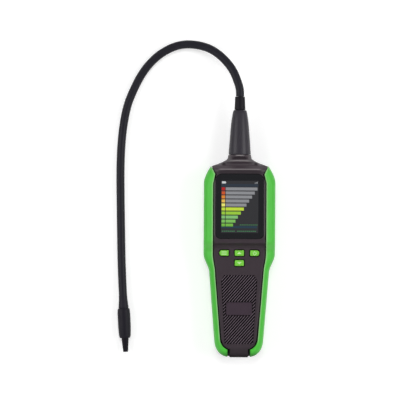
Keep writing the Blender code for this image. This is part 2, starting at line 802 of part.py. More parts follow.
def case_cavity():
    """The space inside the covers."""
    stations = [*END_STATIONS[::2], END_LENGTH, *spread(FLARE_START, FLARE_END, 3)]
    stations += [CREASE_START, CREASE_END, SHOULDER_START, NOTCH_DEEPEST, CAVITY_END]
    rings = []
    for s in stations:
        half = half_width(s) - CAVITY_INSET
        high = panel_top(s) - FRONT_WALL
        low = bottom(s) + FLOOR
        front = (strip(s), FRONT_CORNER_RISE)
        ring = section(half, low, high, front, (SHELL_SIDE, SHELL_SIDE))
        y = end_shift(s, CAVITY_INSET)
        rings.append([(x, y, z) for x, z in ring])
    return loft("case_cavity", rings, cutters)


def grip_grooves():
    """Slanting grooves cut into the grip field, kept off the plain pad."""
    middle = (GRIP_START + GRIP_END) / 2
    reach = GRIP_END - GRIP_START
    along = Vector((math.cos(GRIP_ANGLE), math.sin(GRIP_ANGLE)))
    across = Vector((-along.y, along.x))
    count = int(reach / GROOVE_PITCH / 2) + 4
    low = HANDLE_PANEL - GROOVE_DEPTH
    bm = bmesh.new()
    for k in range(-count, count + 1):
        centre = Vector((0.0, middle)) + across * k * GROOVE_PITCH
        sides = []
        for z in (low, low + 4 * GROOVE_DEPTH):
            corners = []
            for turn, reach_side in ((1, 1), (-1, 1), (-1, -1), (1, -1)):
                point = centre + along * turn * reach + across * reach_side * GROOVE_WIDTH / 2
                corners.append(bm.verts.new((point.x, point.y, z)))
            sides.append(corners)
        bm.faces.new(sides[0][::-1])
        bm.faces.new(sides[1])
        for i in range(4):
            after = (i + 1) % 4
            bm.faces.new((sides[0][i], sides[0][after], sides[1][after], sides[1][i]))
    grooves = finish_mesh("grip_grooves", bm, cutters, None)
    field = [
        (GRIP_HALF_START, GRIP_START),
        (GRIP_HALF_END, GRIP_END - GRIP_CORNER),
        (GRIP_HALF_END - GRIP_CORNER * 0.6, GRIP_END),
        (GRIP_CORNER * 0.6 - GRIP_HALF_END, GRIP_END),
        (-GRIP_HALF_END, GRIP_END - GRIP_CORNER),
        (-GRIP_HALF_START, GRIP_START),
    ]
    field_plate = plate("grip_field", field, low - GROOVE_DEPTH, low + 3 * GROOVE_DEPTH)
    near = PAD_MIDDLE - PAD_LENGTH / 2
    outline = rounded_outline(-PAD_HALF, PAD_HALF, near, near + PAD_LENGTH, [PAD_CORNER] * 4, 3)
    pad = plate("grip_pad", outline, low - 2 * GROOVE_DEPTH, low + 6 * GROOVE_DEPTH)
    boolean(grooves, field_plate, "INTERSECT")
    boolean(grooves, pad, "DIFFERENCE")
    return grooves


def key_outline(width, depth, round_left, round_right, grow):
    """A key's outline about its middle; a rounded side is a half circle."""
    half = width / 2 + grow
    reach = depth / 2 + grow
    left = reach - FIT if round_left else KEY_CORNER + grow
    right = reach - FIT if round_right else KEY_CORNER + grow
    return rounded_outline(-half, half, -reach, reach, (right, left, left, right), 3)


KEYS = (
    ("left_key", -SIDE_KEY_OUT, KEY_ROW, SIDE_KEY_WIDTH, KEY_DEPTH, True, False),
    ("centre_key", 0.0, KEY_ROW, CENTRE_KEY_WIDTH, KEY_DEPTH, False, False),
    ("right_key", SIDE_KEY_OUT, KEY_ROW, SIDE_KEY_WIDTH, KEY_DEPTH, False, True),
    ("lower_key", 0.0, LOWER_KEY_ROW, CENTRE_KEY_WIDTH, LOWER_KEY_DEPTH, False, False),
)


def key_cuts(name, grow, low, high):
    parts = []
    for key, x, y, width, depth, round_left, round_right in KEYS:
        outline = key_outline(width, depth, round_left, round_right, grow)
        placed = [(x + px, y + py) for px, py in outline]
        parts.append(plate(name + "_" + key, placed, low, high))
    return parts


def lens_outline(grow):
    radii = (LENS_CORNER_HIGH, LENS_CORNER_HIGH, LENS_CORNER_LOW, LENS_CORNER_LOW)
    radii = [radius + grow for radius in radii]
    half = LENS_HALF + grow
    return rounded_outline(-half, half, LENS_START - grow, LENS_END + grow, radii)


def window_outline(grow):
    half = WINDOW_HALF + grow
    return rounded_outline(-half, half, WINDOW_START - grow, WINDOW_END + grow, [KEY_CORNER] * 4, 2)


def neck_bore():
    return rod("neck_bore", BORE_RADIUS, (0, CAVITY_END - FIT, NECK_AXIS), (0, COLLAR_END + FIT, NECK_AXIS), FINE)


def collar_scoop():
    """A shallow crescent in front of the sleeve, where the collar is highest."""
    outline = []
    for i in range(MEDIUM):
        angle = 2 * math.pi * i / MEDIUM
        outline.append((SCOOP_HALF_WIDTH * math.cos(angle), SCOOP_MIDDLE + SCOOP_HALF_LENGTH * math.sin(angle)))
    floor = NECK_AXIS + COLLAR_RADIUS - SCOOP_DEPTH
    return plate("collar_scoop", outline, floor, floor + COLLAR_RADIUS)


def make_front_cover(shoulder, cavity):
    cover = case_loft("front_cover", BODY_STATIONS + NECK_STATIONS[:2], GROOVE_INSET, detector, dark_plastic)
    boolean(cover, front_panel(), "UNION")
    boolean(cover, shoulder, "UNION")
    beyond = 2 * HEAD_HALF
    lower = cutter_box(
        "below_split", (-beyond, -END_LENGTH, -HEAD_HEIGHT), (beyond, OVERALL_LENGTH, SPLIT + SPLIT_FIT)
    )
    boolean(cover, lower, "DIFFERENCE")
    boolean(cover, cavity, "DIFFERENCE")
    bosses = []
    holes = [neck_bore()]
    for x, y in ring_places(SCREW_PLACES):
        ceiling = panel_top(y) - FRONT_WALL / 2
        bosses.append(rod("boss", BOSS_RADIUS_FRONT, (x, y, SPLIT + SPLIT_FIT), (x, y, ceiling), COARSE))
        hole = SCREW_SHANK_RADIUS + FIT
        depth = SCREW_SEAT + SCREW_HEAD_HEIGHT + SCREW_LENGTH + FIT
        holes.append(rod("hole", hole, (x, y, SPLIT - FIT), (x, y, depth), COARSE))
    boolean(cover, gather("front_bosses", bosses), "UNION")
    boolean(cover, gather("front_holes", holes), "DIFFERENCE")
    high = 2 * HEAD_HEIGHT
    wells = key_cuts("well", KEY_WELL_MARGIN, HANDLE_PANEL - KEY_WELL_DEPTH, high)
    wells.append(plate("lens_recess", lens_outline(FIT), LENS_SEAT, high))
    boolean(cover, gather("front_recesses", wells), "DIFFERENCE")
    openings = key_cuts("opening", KEY_GAP, KEY_FLANGE_TOP - FRONT_WALL / 2, high)
    openings.append(plate("window_opening", window_outline(0.0), HEAD_CEILING - FRONT_WALL / 2, high))
    boolean(cover, gather("front_openings", openings), "DIFFERENCE")
    boolean(cover, grip_grooves(), "DIFFERENCE")
    boolean(cover, collar_scoop(), "DIFFERENCE")
    return cover


def t_section(half, flange, low, lip, high, start, end, name):
    """A strip with a wider upper part, as the door and its slot have."""
    ring = [
        (half, low),
        (half, lip),
        (half + flange, lip),
        (half + flange, high),
        (-half - flange, high),
        (-half - flange, lip),
        (-half, lip),
        (-half, low),
    ]
    return [[(x, y, z) for x, z in ring] for y in (start, end)], name


def rear_fillers():
    """Bosses, board posts, pump ribs and buzzer ring that stand on the rear cover's floor."""
    root = FLOOR - REAR_WALL / 2
    parts = []
    for x, y in ring_places(SCREW_PLACES):
        parts.append(rod("boss", BOSS_RADIUS_REAR, (x, y, root), (x, y, SPLIT - SPLIT_FIT), MEDIUM))
    for x, y in ring_places(POST_PLACES):
        parts.append(rod("post", POST_RADIUS, (x, y, root), (x, y, BOARD_BOTTOM - FIT), COARSE))
    motor_middle = PUMP_END - PUMP_HEAD_LENGTH - PUMP_MOTOR_LENGTH / 2
    head_middle = PUMP_END - PUMP_HEAD_LENGTH / 2
    for y, reach in ((motor_middle, PUMP_MOTOR_RADIUS), (head_middle, PUMP_HEAD_HALF)):
        low = (-PUMP_HEAD_HALF, y - RIB_THICKNESS / 2, root)
        high = (PUMP_HEAD_HALF, y + RIB_THICKNESS / 2, NECK_AXIS - reach - FIT)
        parts.append(cutter_box("pump_rib", low, high))
    x, y = BUZZER_AT
    ring_radius = BUZZER_RADIUS + FIT + BUZZER_RING_WALL
    parts.append(rod("buzzer_ring", ring_radius, (x, y, root), (x, y, FLOOR + BUZZER_RING_HEIGHT), MEDIUM))
    return gather("rear_fillers", parts)


def make_rear_cover(shoulder, cavity):
    cover = case_loft("rear_cover", BODY_STATIONS + NECK_STATIONS[:2], GROOVE_INSET, detector, dark_plastic)
    boolean(cover, rear_panel(), "UNION")
    boolean(cover, shoulder, "UNION")
    beyond = 2 * HEAD_HALF
    upper = cutter_box(
        "above_split", (-beyond, -END_LENGTH, SPLIT - SPLIT_FIT), (beyond, OVERALL_LENGTH, 2 * HEAD_HEIGHT)
    )
    boolean(cover, upper, "DIFFERENCE")
    boolean(cover, cavity, "DIFFERENCE")
    outer = BAY_HALF + BAY_WALL
    bay = cutter_box(
        "battery_bay",
        (-outer, BAY_START - BAY_WALL, FLOOR - REAR_WALL / 2),
        (outer, BAY_END + BAY_WALL, BAY_TOP + BAY_ROOF),
    )
    boolean(cover, bay, "UNION")
    boolean(cover, rear_fillers(), "UNION")
    pocket = cutter_box("bay_pocket", (-BAY_HALF, BAY_START, -FLOOR), (BAY_HALF, BAY_END, BAY_TOP))
    boolean(cover, pocket, "DIFFERENCE")
    lip = REAR_DROP + DOOR_LIP
    rings, name = t_section(
        DOOR_HALF + FIT, DOOR_FLANGE, -FLOOR, lip, DOOR_SLOT_TOP, -END_LENGTH, DOOR_END + FIT, "door_slot"
    )
    boolean(cover, loft(name, rings, cutters), "DIFFERENCE")
    wide = []
    narrow = [neck_bore()]
    for x, y in ring_places(SCREW_PLACES):
        wide.append(rod("counterbore", SCREW_HEAD_RADIUS + FIT, (x, y, -FLOOR), (x, y, SCREW_SEAT - FIT), MEDIUM))
        narrow.append(rod("through", SCREW_SHANK_RADIUS + FIT, (x, y, FIT), (x, y, SPLIT + FIT), COARSE))
    x, y = BUZZER_AT
    narrow.append(rod("buzzer_seat", BUZZER_RADIUS + FIT, (x, y, FLOOR), (x, y, 2 * FLOOR), MEDIUM))
    for k in range(SLOT_COUNT):
        middle = x + (k - (SLOT_COUNT - 1) / 2) * SLOT_PITCH
        low = (middle - SLOT_WIDTH / 2, y - SLOT_LENGTH / 2, -FLOOR)
        high = (middle + SLOT_WIDTH / 2, y + SLOT_LENGTH / 2, FLOOR + FIT)
        wide.append(cutter_box("sound_slot", low, high))
    boolean(cover, gather("rear_wide_cuts", wide), "DIFFERENCE")
    boolean(cover, gather("rear_narrow_cuts", narrow), "DIFFERENCE")
    return cover


def make_covers():
    """The two dark shells that meet at the parting plane."""
    stations = [SHOULDER_END + FIT, *NECK_STATIONS]
    shoulder = case_loft("shoulder", stations, PANEL_DROP, cutters)
    cavity = case_cavity()
    make_front_cover(shoulder, cavity)
    make_rear_cover(shoulder, cavity)


def make_battery_door():
    """A flanged strip that slides out of the lower rear end; its end takes the case's rounding."""
    lip = REAR_DROP + DOOR_LIP + FIT
    rings, name = t_section(
        DOOR_HALF, DOOR_FLANGE - FIT, REAR_DROP, lip, DOOR_TOP, -END_LENGTH, DOOR_END, "battery_door"
    )
    door = loft(name, rings, detector, dark_plastic)
    limit = case_loft("door_limit", END_STATIONS + FLARE_STATIONS, REAR_DROP + FIT / 4, cutters)
    boolean(door, limit, "INTERSECT")
    grips = []
    for k in range(DOOR_GRIP_COUNT):
        middle = DOOR_END - 2 * DOOR_GRIP_PITCH - k * DOOR_GRIP_PITCH
        low = (-DOOR_GRIP_HALF, middle - DOOR_GRIP_WIDTH / 2, -FLOOR)
        high = (DOOR_GRIP_HALF, middle + DOOR_GRIP_WIDTH / 2, REAR_DROP + DOOR_GRIP_DEPTH)
        grips.append(cutter_box("door_grip", low, high))
    boolean(door, gather("door_grips", grips), "DIFFERENCE")


def make_battery():
    """Two cells, one turned round, between a bridge at the lower end and sprung terminals above."""
    nub = CELL_NUB_LENGTH
    edge = CELL_NUB_RADIUS / 5
    profile = [
        (0.0, CELL_LENGTH),
        (CELL_NUB_RADIUS, CELL_LENGTH),
        (CELL_NUB_RADIUS, CELL_LENGTH - nub),
        (CELL_RADIUS - edge, CELL_LENGTH - nub),
        (CELL_RADIUS, CELL_LENGTH - nub - edge),
        (CELL_RADIUS, edge),
        (CELL_RADIUS - edge, 0.0),
        (0.0, 0.0),
    ]
    for name, side in (("left_cell", -1), ("right_cell", 1)):
        cell = turned(name, profile, FINE, cell_wrap, along_y=(side * CELL_OUT, CELL_AXIS))
        cell.location.y = CELL_START
        if side > 0:
            cell.rotation_euler = (math.pi / 2, 0.0, 0.0)
            cell.location.y = CELL_END
    for name, x, start in (("left_spring", -CELL_OUT, SPRING_START), ("right_spring", CELL_OUT, SPRING_START)):
        points = []
        steps = COARSE * SPRING_TURNS
        for i in range(steps + 1):
            share = i / steps
            angle = 2 * math.pi * SPRING_TURNS * share
            radius = SPRING_TIP_RADIUS + (SPRING_RADIUS - SPRING_TIP_RADIUS) * share
            y = start + SPRING_LENGTH * share
            points.append((x + radius * math.cos(angle), y, CELL_AXIS + radius * math.sin(angle)))
        tube(name, points, SPRING_WIRE, 0, spring_steel)
    low = CELL_AXIS - TERMINAL_HALF_HEIGHT
    high = CELL_AXIS + TERMINAL_HALF_HEIGHT
    reach = CELL_OUT + TERMINAL_HALF_HEIGHT
    for name, start, halves in (
        ("bridge_plate", BAY_START + FIT, ((-reach, reach),)),
        ("left_terminal", TERMINAL_START, ((-reach, -CELL_OUT + TERMINAL_HALF_HEIGHT),)),
        ("right_terminal", TERMINAL_START, ((CELL_OUT - TERMINAL_HALF_HEIGHT, reach),)),
    ):
        for left, right in halves:
            outline = rounded_outline(left, right, low, high, [KEY_CORNER] * 4, 2)
            metal = plate(name, outline, -start - TERMINAL_THICKNESS, -start, detector, spring_steel)
            metal.rotation_euler = (math.pi / 2, 0.0, 0.0)


def make_display():
    """Window, screen module and the carrier that holds the screen up to the window."""
    lens_low = LENS_SEAT + FIT
    plate("display_window", lens_outline(0.0), lens_low, lens_low + LENS_THICKNESS, detector, window_gloss)
    plate("display_module", window_outline(-FIT), DISPLAY_BOTTOM, DISPLAY_TOP, detector, screen_glass)
    low = BOARD_TOP + FIT
    high = DISPLAY_BOTTOM - FIT
    carrier = plate("display_carrier", window_outline(CARRIER_OUT), low, high, detector, pale_plastic)
    inside = plate("carrier_inside", window_outline(CARRIER_OUT - CARRIER_WALL), low - FIT, high + FIT)
    boolean(carrier, inside, "DIFFERENCE")


def make_keys():
    """Four green keys, each with a flange that keeps it in its well and a stem over its switch."""
    for name, x, y, width, depth, round_left, round_right in KEYS:
        shape = (width, depth, round_left, round_right)
        low = KEY_FLANGE_TOP - HANDLE_PANEL
        cap_low = low - KEY_FLANGE_THICKNESS / 2
        key = plate(name, key_outline(*shape, 0.0), cap_low, KEY_PROUD, detector, key_plastic)
        edge = key.modifiers.new("soft_edge", "BEVEL")
        edge.width = KEY_EDGE
        edge.segments = 2
        edge.limit_method = "ANGLE"
        edge.angle_limit = math.radians(70.0)
        flange = plate(name + "_flange", key_outline(*shape, KEY_FLANGE_MARGIN), low - KEY_FLANGE_THICKNESS, low)
        stem_low = low - KEY_FLANGE_THICKNESS - KEY_STEM_LENGTH
        stem = rod(name + "_stem", KEY_STEM_RADIUS, (0, 0, stem_low), (0, 0, low - KEY_FLANGE_THICKNESS / 2), COARSE)
        for piece in (flange, stem):
            piece.location = (x, y, HANDLE_PANEL)
        key.location = (x, y, HANDLE_PANEL)
        boolean(key, flange, "UNION")
        boolean(key, stem, "UNION")
        switch_low = BOARD_TOP + FIT
        half = SWITCH_HALF
        outline = rounded_outline(x - half, x + half, y - half, y + half, [KEY_CORNER / 2] * 4, 1)
        switch_name = name.replace("key", "switch")
        body_top = switch_low + SWITCH_HEIGHT / 2
        switch = plate(switch_name, outline, switch_low, body_top, detector, switch_plastic)
        button = rod(switch_name + "_button", KEY_STEM_RADIUS, (x, y, switch_low + SWITCH_HEIGHT / 4), (x, y, SWITCH_TOP), COARSE)
        boolean(switch, button, "UNION")


def make_board():
    """The main board, notched round the lower screw bosses."""
    half = BOARD_HALF
    inner = BOARD_NOTCH_HALF
    outline = [
        (inner, BOARD_START),
        (inner, BOARD_NOTCH_END),
        (half, BOARD_NOTCH_END),
        (half, BOARD_END),
        (-half, BOARD_END),
        (-half, BOARD_NOTCH_END),
        (-inner, BOARD_NOTCH_END),
        (-inner, BOARD_START),
    ]
    plate("main_board", outline, BOARD_BOTTOM, BOARD_TOP, detector, board_green)


def make_buzzer():
    x, y = BUZZER_AT
    low = FLOOR + FIT
    high = low + BUZZER_HEIGHT
    buzzer = turned(
        "buzzer",
        [
            (0.0, high - BUZZER_HEIGHT / 5),
            (BUZZER_RADIUS / 5, high - BUZZER_HEIGHT / 5),
            (BUZZER_RADIUS / 5, high),
            (BUZZER_RADIUS, high),
            (BUZZER_RADIUS, low),
            (0.0, low),
        ],
        MEDIUM,
        switch_plastic,
    )
    buzzer.location = (x, y, 0.0)


def make_air_pump():
    """A motor with a square pump head and its port, in line with the neck."""
    head_start = PUMP_END - PUMP_HEAD_LENGTH
    start = head_start - PUMP_MOTOR_LENGTH
    pump = rod(
        "air_pump", PUMP_MOTOR_RADIUS, (0, start, NECK_AXIS), (0, head_start + FIT, NECK_AXIS), MEDIUM, detector, pump_metal
    )
    half = PUMP_HEAD_HALF
    tall = PUMP_HEAD_TOP
    head = cutter_box("pump_head", (-half, head_start, NECK_AXIS - half), (half, PUMP_END, NECK_AXIS + tall))
    port = rod("pump_port", PUMP_PORT_RADIUS, (0, PUMP_END - FIT, NECK_AXIS), (0, PUMP_END + PUMP_PORT_LENGTH, NECK_AXIS), COARSE)
    boolean(pump, head, "UNION")
    boolean(pump, port, "UNION")
    hose_start = PUMP_END + PUMP_PORT_LENGTH + FIT
    inner = HOSE_RADIUS - HOSE_WALL
    hose_end = FERRULE_END - FIT
    turned(
        "air_hose",
        [(HOSE_RADIUS, hose_end), (HOSE_RADIUS, hose_start), (inner, hose_start), (inner, hose_end)],
        COARSE,
        clear_rubber,
        along_y=(0.0, NECK_AXIS),
        closed=True,
    )


def make_neck():
    """The sleeve is trapped in the covers by its flange; the ferrule's spigot sits in the sleeve."""
    flange_end = CAVITY_END - FIT
    flange_start = flange_end - SLEEVE_FLANGE_LENGTH
    base = COLLAR_END + FIT
    length = SLEEVE_END - base
    body = []
    for share in (1.0, 0.96, 0.9, 0.8, 0.65, 0.45, 0.2, 0.0):
        radius = SLEEVE_BASE_RADIUS - SLEEVE_TAPER * share - SLEEVE_NOSE * share**5
        body.append((radius, base + length * share))
    nose = (body[0][0] - SLEEVE_EDGE, SLEEVE_END)
    body[0] = (body[0][0], SLEEVE_END - SLEEVE_EDGE)
    spigot = FERRULE_SPIGOT_RADIUS + FIT
    spigot_low = SLEEVE_END - FERRULE_SPIGOT_LENGTH - FIT
    profile = [nose, *body]
    profile += [
        (SLEEVE_ROOT_RADIUS, base),
        (SLEEVE_ROOT_RADIUS, flange_end),
        (SLEEVE_FLANGE_RADIUS, flange_end),
        (SLEEVE_FLANGE_RADIUS, flange_start),
        (HOSE_BORE_RADIUS, flange_start),
        (HOSE_BORE_RADIUS, spigot_low),
        (spigot, spigot_low),
        (spigot, SLEEVE_END),
    ]
    turned("neck_sleeve", profile, FINE, neck_rubber, along_y=(0.0, NECK_AXIS), closed=True)
    seat = SLEEVE_END + FIT
    edge = SLEEVE_EDGE
    profile = [
        (FERRULE_TOP_RADIUS - edge, FERRULE_END),
        (FERRULE_TOP_RADIUS, FERRULE_END - edge),
        (FERRULE_BASE_RADIUS, seat),
        (FERRULE_SPIGOT_RADIUS, seat),
        (FERRULE_SPIGOT_RADIUS, spigot_low + FIT),
        (HOSE_BORE_RADIUS, spigot_low + FIT),
        (HOSE_BORE_RADIUS, FERRULE_END),
    ]
    turned("neck_ferrule", profile, MEDIUM, black_rubber, along_y=(0.0, NECK_AXIS), closed=True)


def make_gooseneck():
    """The covered flexible tube; it keeps the bend that it is given."""
    points = smooth_route(GOOSENECK_ROUTE, GOOSENECK_POINTS)
    tube("gooseneck", points, GOOSENECK_DIAMETER / 2, 3, black_rubber)


def make_sensing_head():
    """Boot, barrel and push-on nozzle, with the sensor between them."""
    x, y, z = GOOSENECK_ROUTE[-1]
    direction = Vector((math.sin(HEAD_LEAN), -math.cos(HEAD_LEAN), 0.0))
    head = bpy.data.objects.new("sensing_head", None)
    detector.objects.link(head)
    head.parent = handset
    head.location = Vector((x, y, z)) + direction * FIT
    head.rotation_mode = "QUATERNION"
    head.rotation_quaternion = direction.to_track_quat("Z", "Y")

    barrel = BOOT_LENGTH + FIT
    spigot = HOUSING_BORE_RADIUS - FIT
    spigot_end = barrel + BOOT_SPIGOT_LENGTH
    turned(
        "probe_boot",
        [
            (0.0, spigot_end),
            (spigot, spigot_end),
            (spigot, BOOT_LENGTH),
            (BOOT_END_RADIUS, BOOT_LENGTH),
            (GOOSENECK_DIAMETER / 2, 0.0),
            (0.0, 0.0),
        ],
        MEDIUM,
        black_rubber,
        head,
    )
    mouth_start = barrel + HOUSING_LENGTH - HOUSING_MOUTH_LENGTH
    housing_end = barrel + HOUSING_LENGTH
    length = HOUSING_LENGTH
    turned(
        "sensor_housing",
        [
            (HOUSING_LIP_RADIUS, housing_end),
            (HOUSING_NECK_RADIUS, barrel + 0.94 * length),
            (HOUSING_RADIUS - FIT, barrel + 0.80 * length),
            (HOUSING_RADIUS, barrel + 0.60 * length),
            (HOUSING_RADIUS, barrel + 0.18 * length),
            (HOUSING_RADIUS - FIT, barrel + 0.05 * length),
            (HOUSING_REAR_RADIUS, barrel),
            (HOUSING_BORE_RADIUS, barrel),
            (HOUSING_BORE_RADIUS, mouth_start),
            (HOUSING_MOUTH_RADIUS, mouth_start),
            (HOUSING_MOUTH_RADIUS, housing_end),
        ],
        FINE,
        head_plastic,
        head,
        closed=True,
    )
    socket_start = barrel + SOCKET_START
    socket_end = socket_start + SOCKET_LENGTH
    disc = HOUSING_BORE_RADIUS - FIT
    element_start = socket_end + FIT
    element_end = element_start + ELEMENT_LENGTH
    filter_start = element_end + FIT
    filter_end = mouth_start - FIT
    for name, radius, start, end, steps, mat in (
        ("sensor_socket", disc, socket_start, socket_end, MEDIUM, switch_plastic),
        ("sensor_element", ELEMENT_RADIUS, element_start, element_end, MEDIUM, spring_steel),
        ("tip_filter", disc, filter_start, filter_end, MEDIUM, pale_plastic),
    ):
        turned(name, [(0.0, end), (radius, end), (radius, start), (0.0, start)], steps, mat, head)
    nozzle = bpy.data.objects.new("nozzle_seat", None)
    detector.objects.link(nozzle)
    nozzle.parent = head
    nozzle.location = (0.0, 0.0, housing_end + FIT)
    plug = HOUSING_MOUTH_RADIUS - FIT
    turned(
        "sensor_nozzle",
        [
            (NOZZLE_TIP_RADIUS - FIT, NOZZLE_LENGTH),
            (NOZZLE_TIP_RADIUS, NOZZLE_LENGTH - FIT),
            (NOZZLE_BASE_RADIUS, 0.0),
            (plug, 0.0),
            (plug, -NOZZLE_SPIGOT_LENGTH),
            (NOZZLE_BORE_RADIUS, -NOZZLE_SPIGOT_LENGTH),
            (NOZZLE_BORE_RADIUS, NOZZLE_LENGTH),
        ],
        MEDIUM,
        nozzle_rubber,
        nozzle,
        closed=True,
    )


def make_screws():
    """Four case screws, driven from the back into the front cover's bosses."""
    shank_end = SCREW_HEAD_HEIGHT + SCREW_LENGTH
    profile = [
        (0.0, shank_end),
        (SCREW_SHANK_RADIUS / 2, shank_end),
        (SCREW_SHANK_RADIUS, shank_end - SCREW_SHANK_RADIUS),
        (SCREW_SHANK_RADIUS, SCREW_HEAD_HEIGHT),
        (SCREW_HEAD_RADIUS, SCREW_HEAD_HEIGHT),
        (SCREW_HEAD_RADIUS, SCREW_HEAD_HEIGHT / 3),
        (SCREW_HEAD_RADIUS * 0.75, 0.0),
        (0.0, 0.0),
    ]
    names = ("upper_right_screw", "upper_left_screw", "lower_right_screw", "lower_left_screw")
    for name, (x, y) in zip(names, ring_places(SCREW_PLACES)):
        screw = turned(name, profile, COARSE, spring_steel)
        screw.location = (x, y, SCREW_SEAT - SCREW_HEAD_HEIGHT - 2 * FIT)


clear_scene()
detector = collection("leak_detector")
cutters = collection("cutters")
handset = bpy.data.objects.new("handset", None)
detector.objects.link(handset)
handset.location = (0.0, -OVERALL_LENGTH / 2, 0.0)
bpy.context.view_layer.update()

dark_plastic = material("dark_plastic", (0.052, 0.040, 0.048), 0.5)
green_rubber = material("green_rubber", (0.105, 0.506, 0.076), 0.45)
key_plastic = material("key_plastic", (0.250, 0.580, 0.150), 0.35)
neck_rubber = material("neck_rubber", (0.051, 0.047, 0.058), 0.45)
black_rubber = material("black_rubber", (0.031, 0.030, 0.038), 0.5)
head_plastic = material("head_plastic", (0.026, 0.024, 0.033), 0.45)
nozzle_rubber = material("nozzle_rubber", (0.018, 0.017, 0.022), 0.5)
window_gloss = material("window_gloss", (0.016, 0.017, 0.019), 0.08)
screen_glass = material("screen_glass", (0.040, 0.040, 0.043), 0.2)
pale_plastic = material("pale_plastic", (0.600, 0.600, 0.580), 0.5)
switch_plastic = material("switch_plastic", (0.020, 0.020, 0.022), 0.4)
board_green = material("board_green", (0.020, 0.150, 0.050), 0.4)
cell_wrap = material("cell_wrap", (0.030, 0.120, 0.330), 0.35)
spring_steel = material("spring_steel", (0.560, 0.560, 0.580), 0.3, 1.0)
pump_metal = material("pump_metal", (0.420, 0.420, 0.440), 0.35, 1.0)
clear_rubber = material("clear_rubber", (0.700, 0.700, 0.680), 0.3)

make_bumpers()
make_covers()
make_battery_door()
make_battery()
make_display()
make_board()
make_keys()
make_buzzer()
make_air_pump()
make_neck()
make_gooseneck()
make_sensing_head()
make_screws()

for cutter in cutters.objects:
    cutter.hide_render = True
    cutter.display_type = "WIRE"
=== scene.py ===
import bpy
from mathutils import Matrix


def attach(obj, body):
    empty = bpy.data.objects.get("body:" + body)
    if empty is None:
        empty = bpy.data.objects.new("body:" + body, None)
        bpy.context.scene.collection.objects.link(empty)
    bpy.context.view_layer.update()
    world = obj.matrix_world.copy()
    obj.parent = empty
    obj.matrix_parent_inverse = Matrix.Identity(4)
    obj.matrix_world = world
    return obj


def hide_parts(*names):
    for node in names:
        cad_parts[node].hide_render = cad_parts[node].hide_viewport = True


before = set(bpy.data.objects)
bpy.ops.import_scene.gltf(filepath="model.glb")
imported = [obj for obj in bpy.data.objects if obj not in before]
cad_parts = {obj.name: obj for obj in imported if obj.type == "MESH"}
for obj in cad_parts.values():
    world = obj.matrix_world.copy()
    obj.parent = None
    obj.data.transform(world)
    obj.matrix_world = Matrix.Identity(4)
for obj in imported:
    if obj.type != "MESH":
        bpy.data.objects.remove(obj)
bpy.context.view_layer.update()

import math

import bmesh
import bpy
import numpy as np
from mathutils import Vector

# Studio: the detector lies on a white cove, seen from straight above, between two
# large soft lamps at its sides, a smaller one over its head and a weak one beyond its
# foot. The cove shows white to the camera and keeps the shadow.
MIDDLE = 0.13665  # the station of the world's origin; stations start at the lower end
COVE_RADIUS = 7.0
COVE_BEND = 2.0
COVE_HEIGHT = 6.0
COVE_SIDES = 64
FLOOR_RINGS = (0.0, 0.5, 1.0, 2.0, 4.0)
FLOOR_LEVEL = -0.0001
PAPER_GREY, PAPER_GLOW = 0.68, 0.50


def fan_index(rows, columns, round_rows=False):
    """Corner numbers of the quads between a grid's rows and columns.

    The last column meets the first, and with round_rows the last row does too.
    """
    index = np.arange(rows * columns).reshape(rows, columns)
    if round_rows:
        index = np.vstack([index, index[:1]])
    ahead = np.roll(index, -1, axis=1)
    return np.stack([index[:-1], ahead[:-1], ahead[1:], index[1:]], axis=-1).reshape(-1, 4)


def mesh_of(name, points, faces, sharp=32.0):
    """A smooth-shaded mesh with its doubles merged, whose edges over the sharp angle stay sharp."""
    mesh = bpy.data.meshes.new(name)
    mesh.from_pydata(points.tolist(), [], faces)
    work = bmesh.new()
    work.from_mesh(mesh)
    bmesh.ops.remove_doubles(work, verts=work.verts, dist=1e-7)
    work.to_mesh(mesh)
    work.free()
    mesh.shade_smooth()
    mesh.set_sharp_from_angle(angle=math.radians(sharp))
    return mesh


def add_object(name, mesh, material=None):
    """A new object in the scene, with its material where it is known by then."""
    obj = bpy.data.objects.new(name, mesh)
    bpy.context.scene.collection.objects.link(obj)
    if material:
        mesh.materials.append(material)
    return obj


def srgb(red, green, blue):
    """Screen values 0 to 255 as the linear colour that shaders take: the sRGB curve undone."""
    value = np.array([red, green, blue]) / 255
    linear = np.where(value <= 0.04045, value / 12.92, ((value + 0.055) / 1.055) ** 2.4)
    return (*linear.tolist(), 1.0)


def angles_round(sides):
    """Even angles once round, from zero."""
    return np.arange(sides) * 2 * np.pi / sides


def math_node(tree, operation, first, second):
    """A Math node with each side a socket or a number; returns its output."""
    node = tree.nodes.new("ShaderNodeMath")
    node.operation = operation
    for socket, value in zip(node.inputs, (first, second)):
        if isinstance(value, (int, float)):
            socket.default_value = value
        else:
            tree.links.new(value, socket)
    return node.outputs[0]


bend = np.linspace(0, np.pi / 2, 13)
curve = COVE_RADIUS + COVE_BEND * np.sin(bend)
cove_radii = np.concatenate([FLOOR_RINGS, curve, [COVE_RADIUS + COVE_BEND]])
curve = COVE_BEND * (1 - np.cos(bend))
cove_heights = np.concatenate([np.zeros(len(FLOOR_RINGS)), curve, [COVE_HEIGHT]]) + FLOOR_LEVEL
turn = angles_round(COVE_SIDES)
cove_x, cove_y = cove_radii[:, None] * np.cos(turn), cove_radii[:, None] * np.sin(turn)
cove_grid = np.stack([cove_x, cove_y, np.repeat(cove_heights[:, None], COVE_SIDES, axis=1)], axis=-1)
cove_faces = fan_index(len(cove_radii), COVE_SIDES)
cove = add_object("studio_cove", mesh_of("studio_cove", cove_grid.reshape(-1, 3), cove_faces.tolist(), 60.0))
paper = bpy.data.materials.new("white_paper")
paper.use_nodes = True
nodes, links = paper.node_tree.nodes, paper.node_tree.links
nodes.remove(nodes["Principled BSDF"])
diffuse = nodes.new("ShaderNodeBsdfDiffuse")
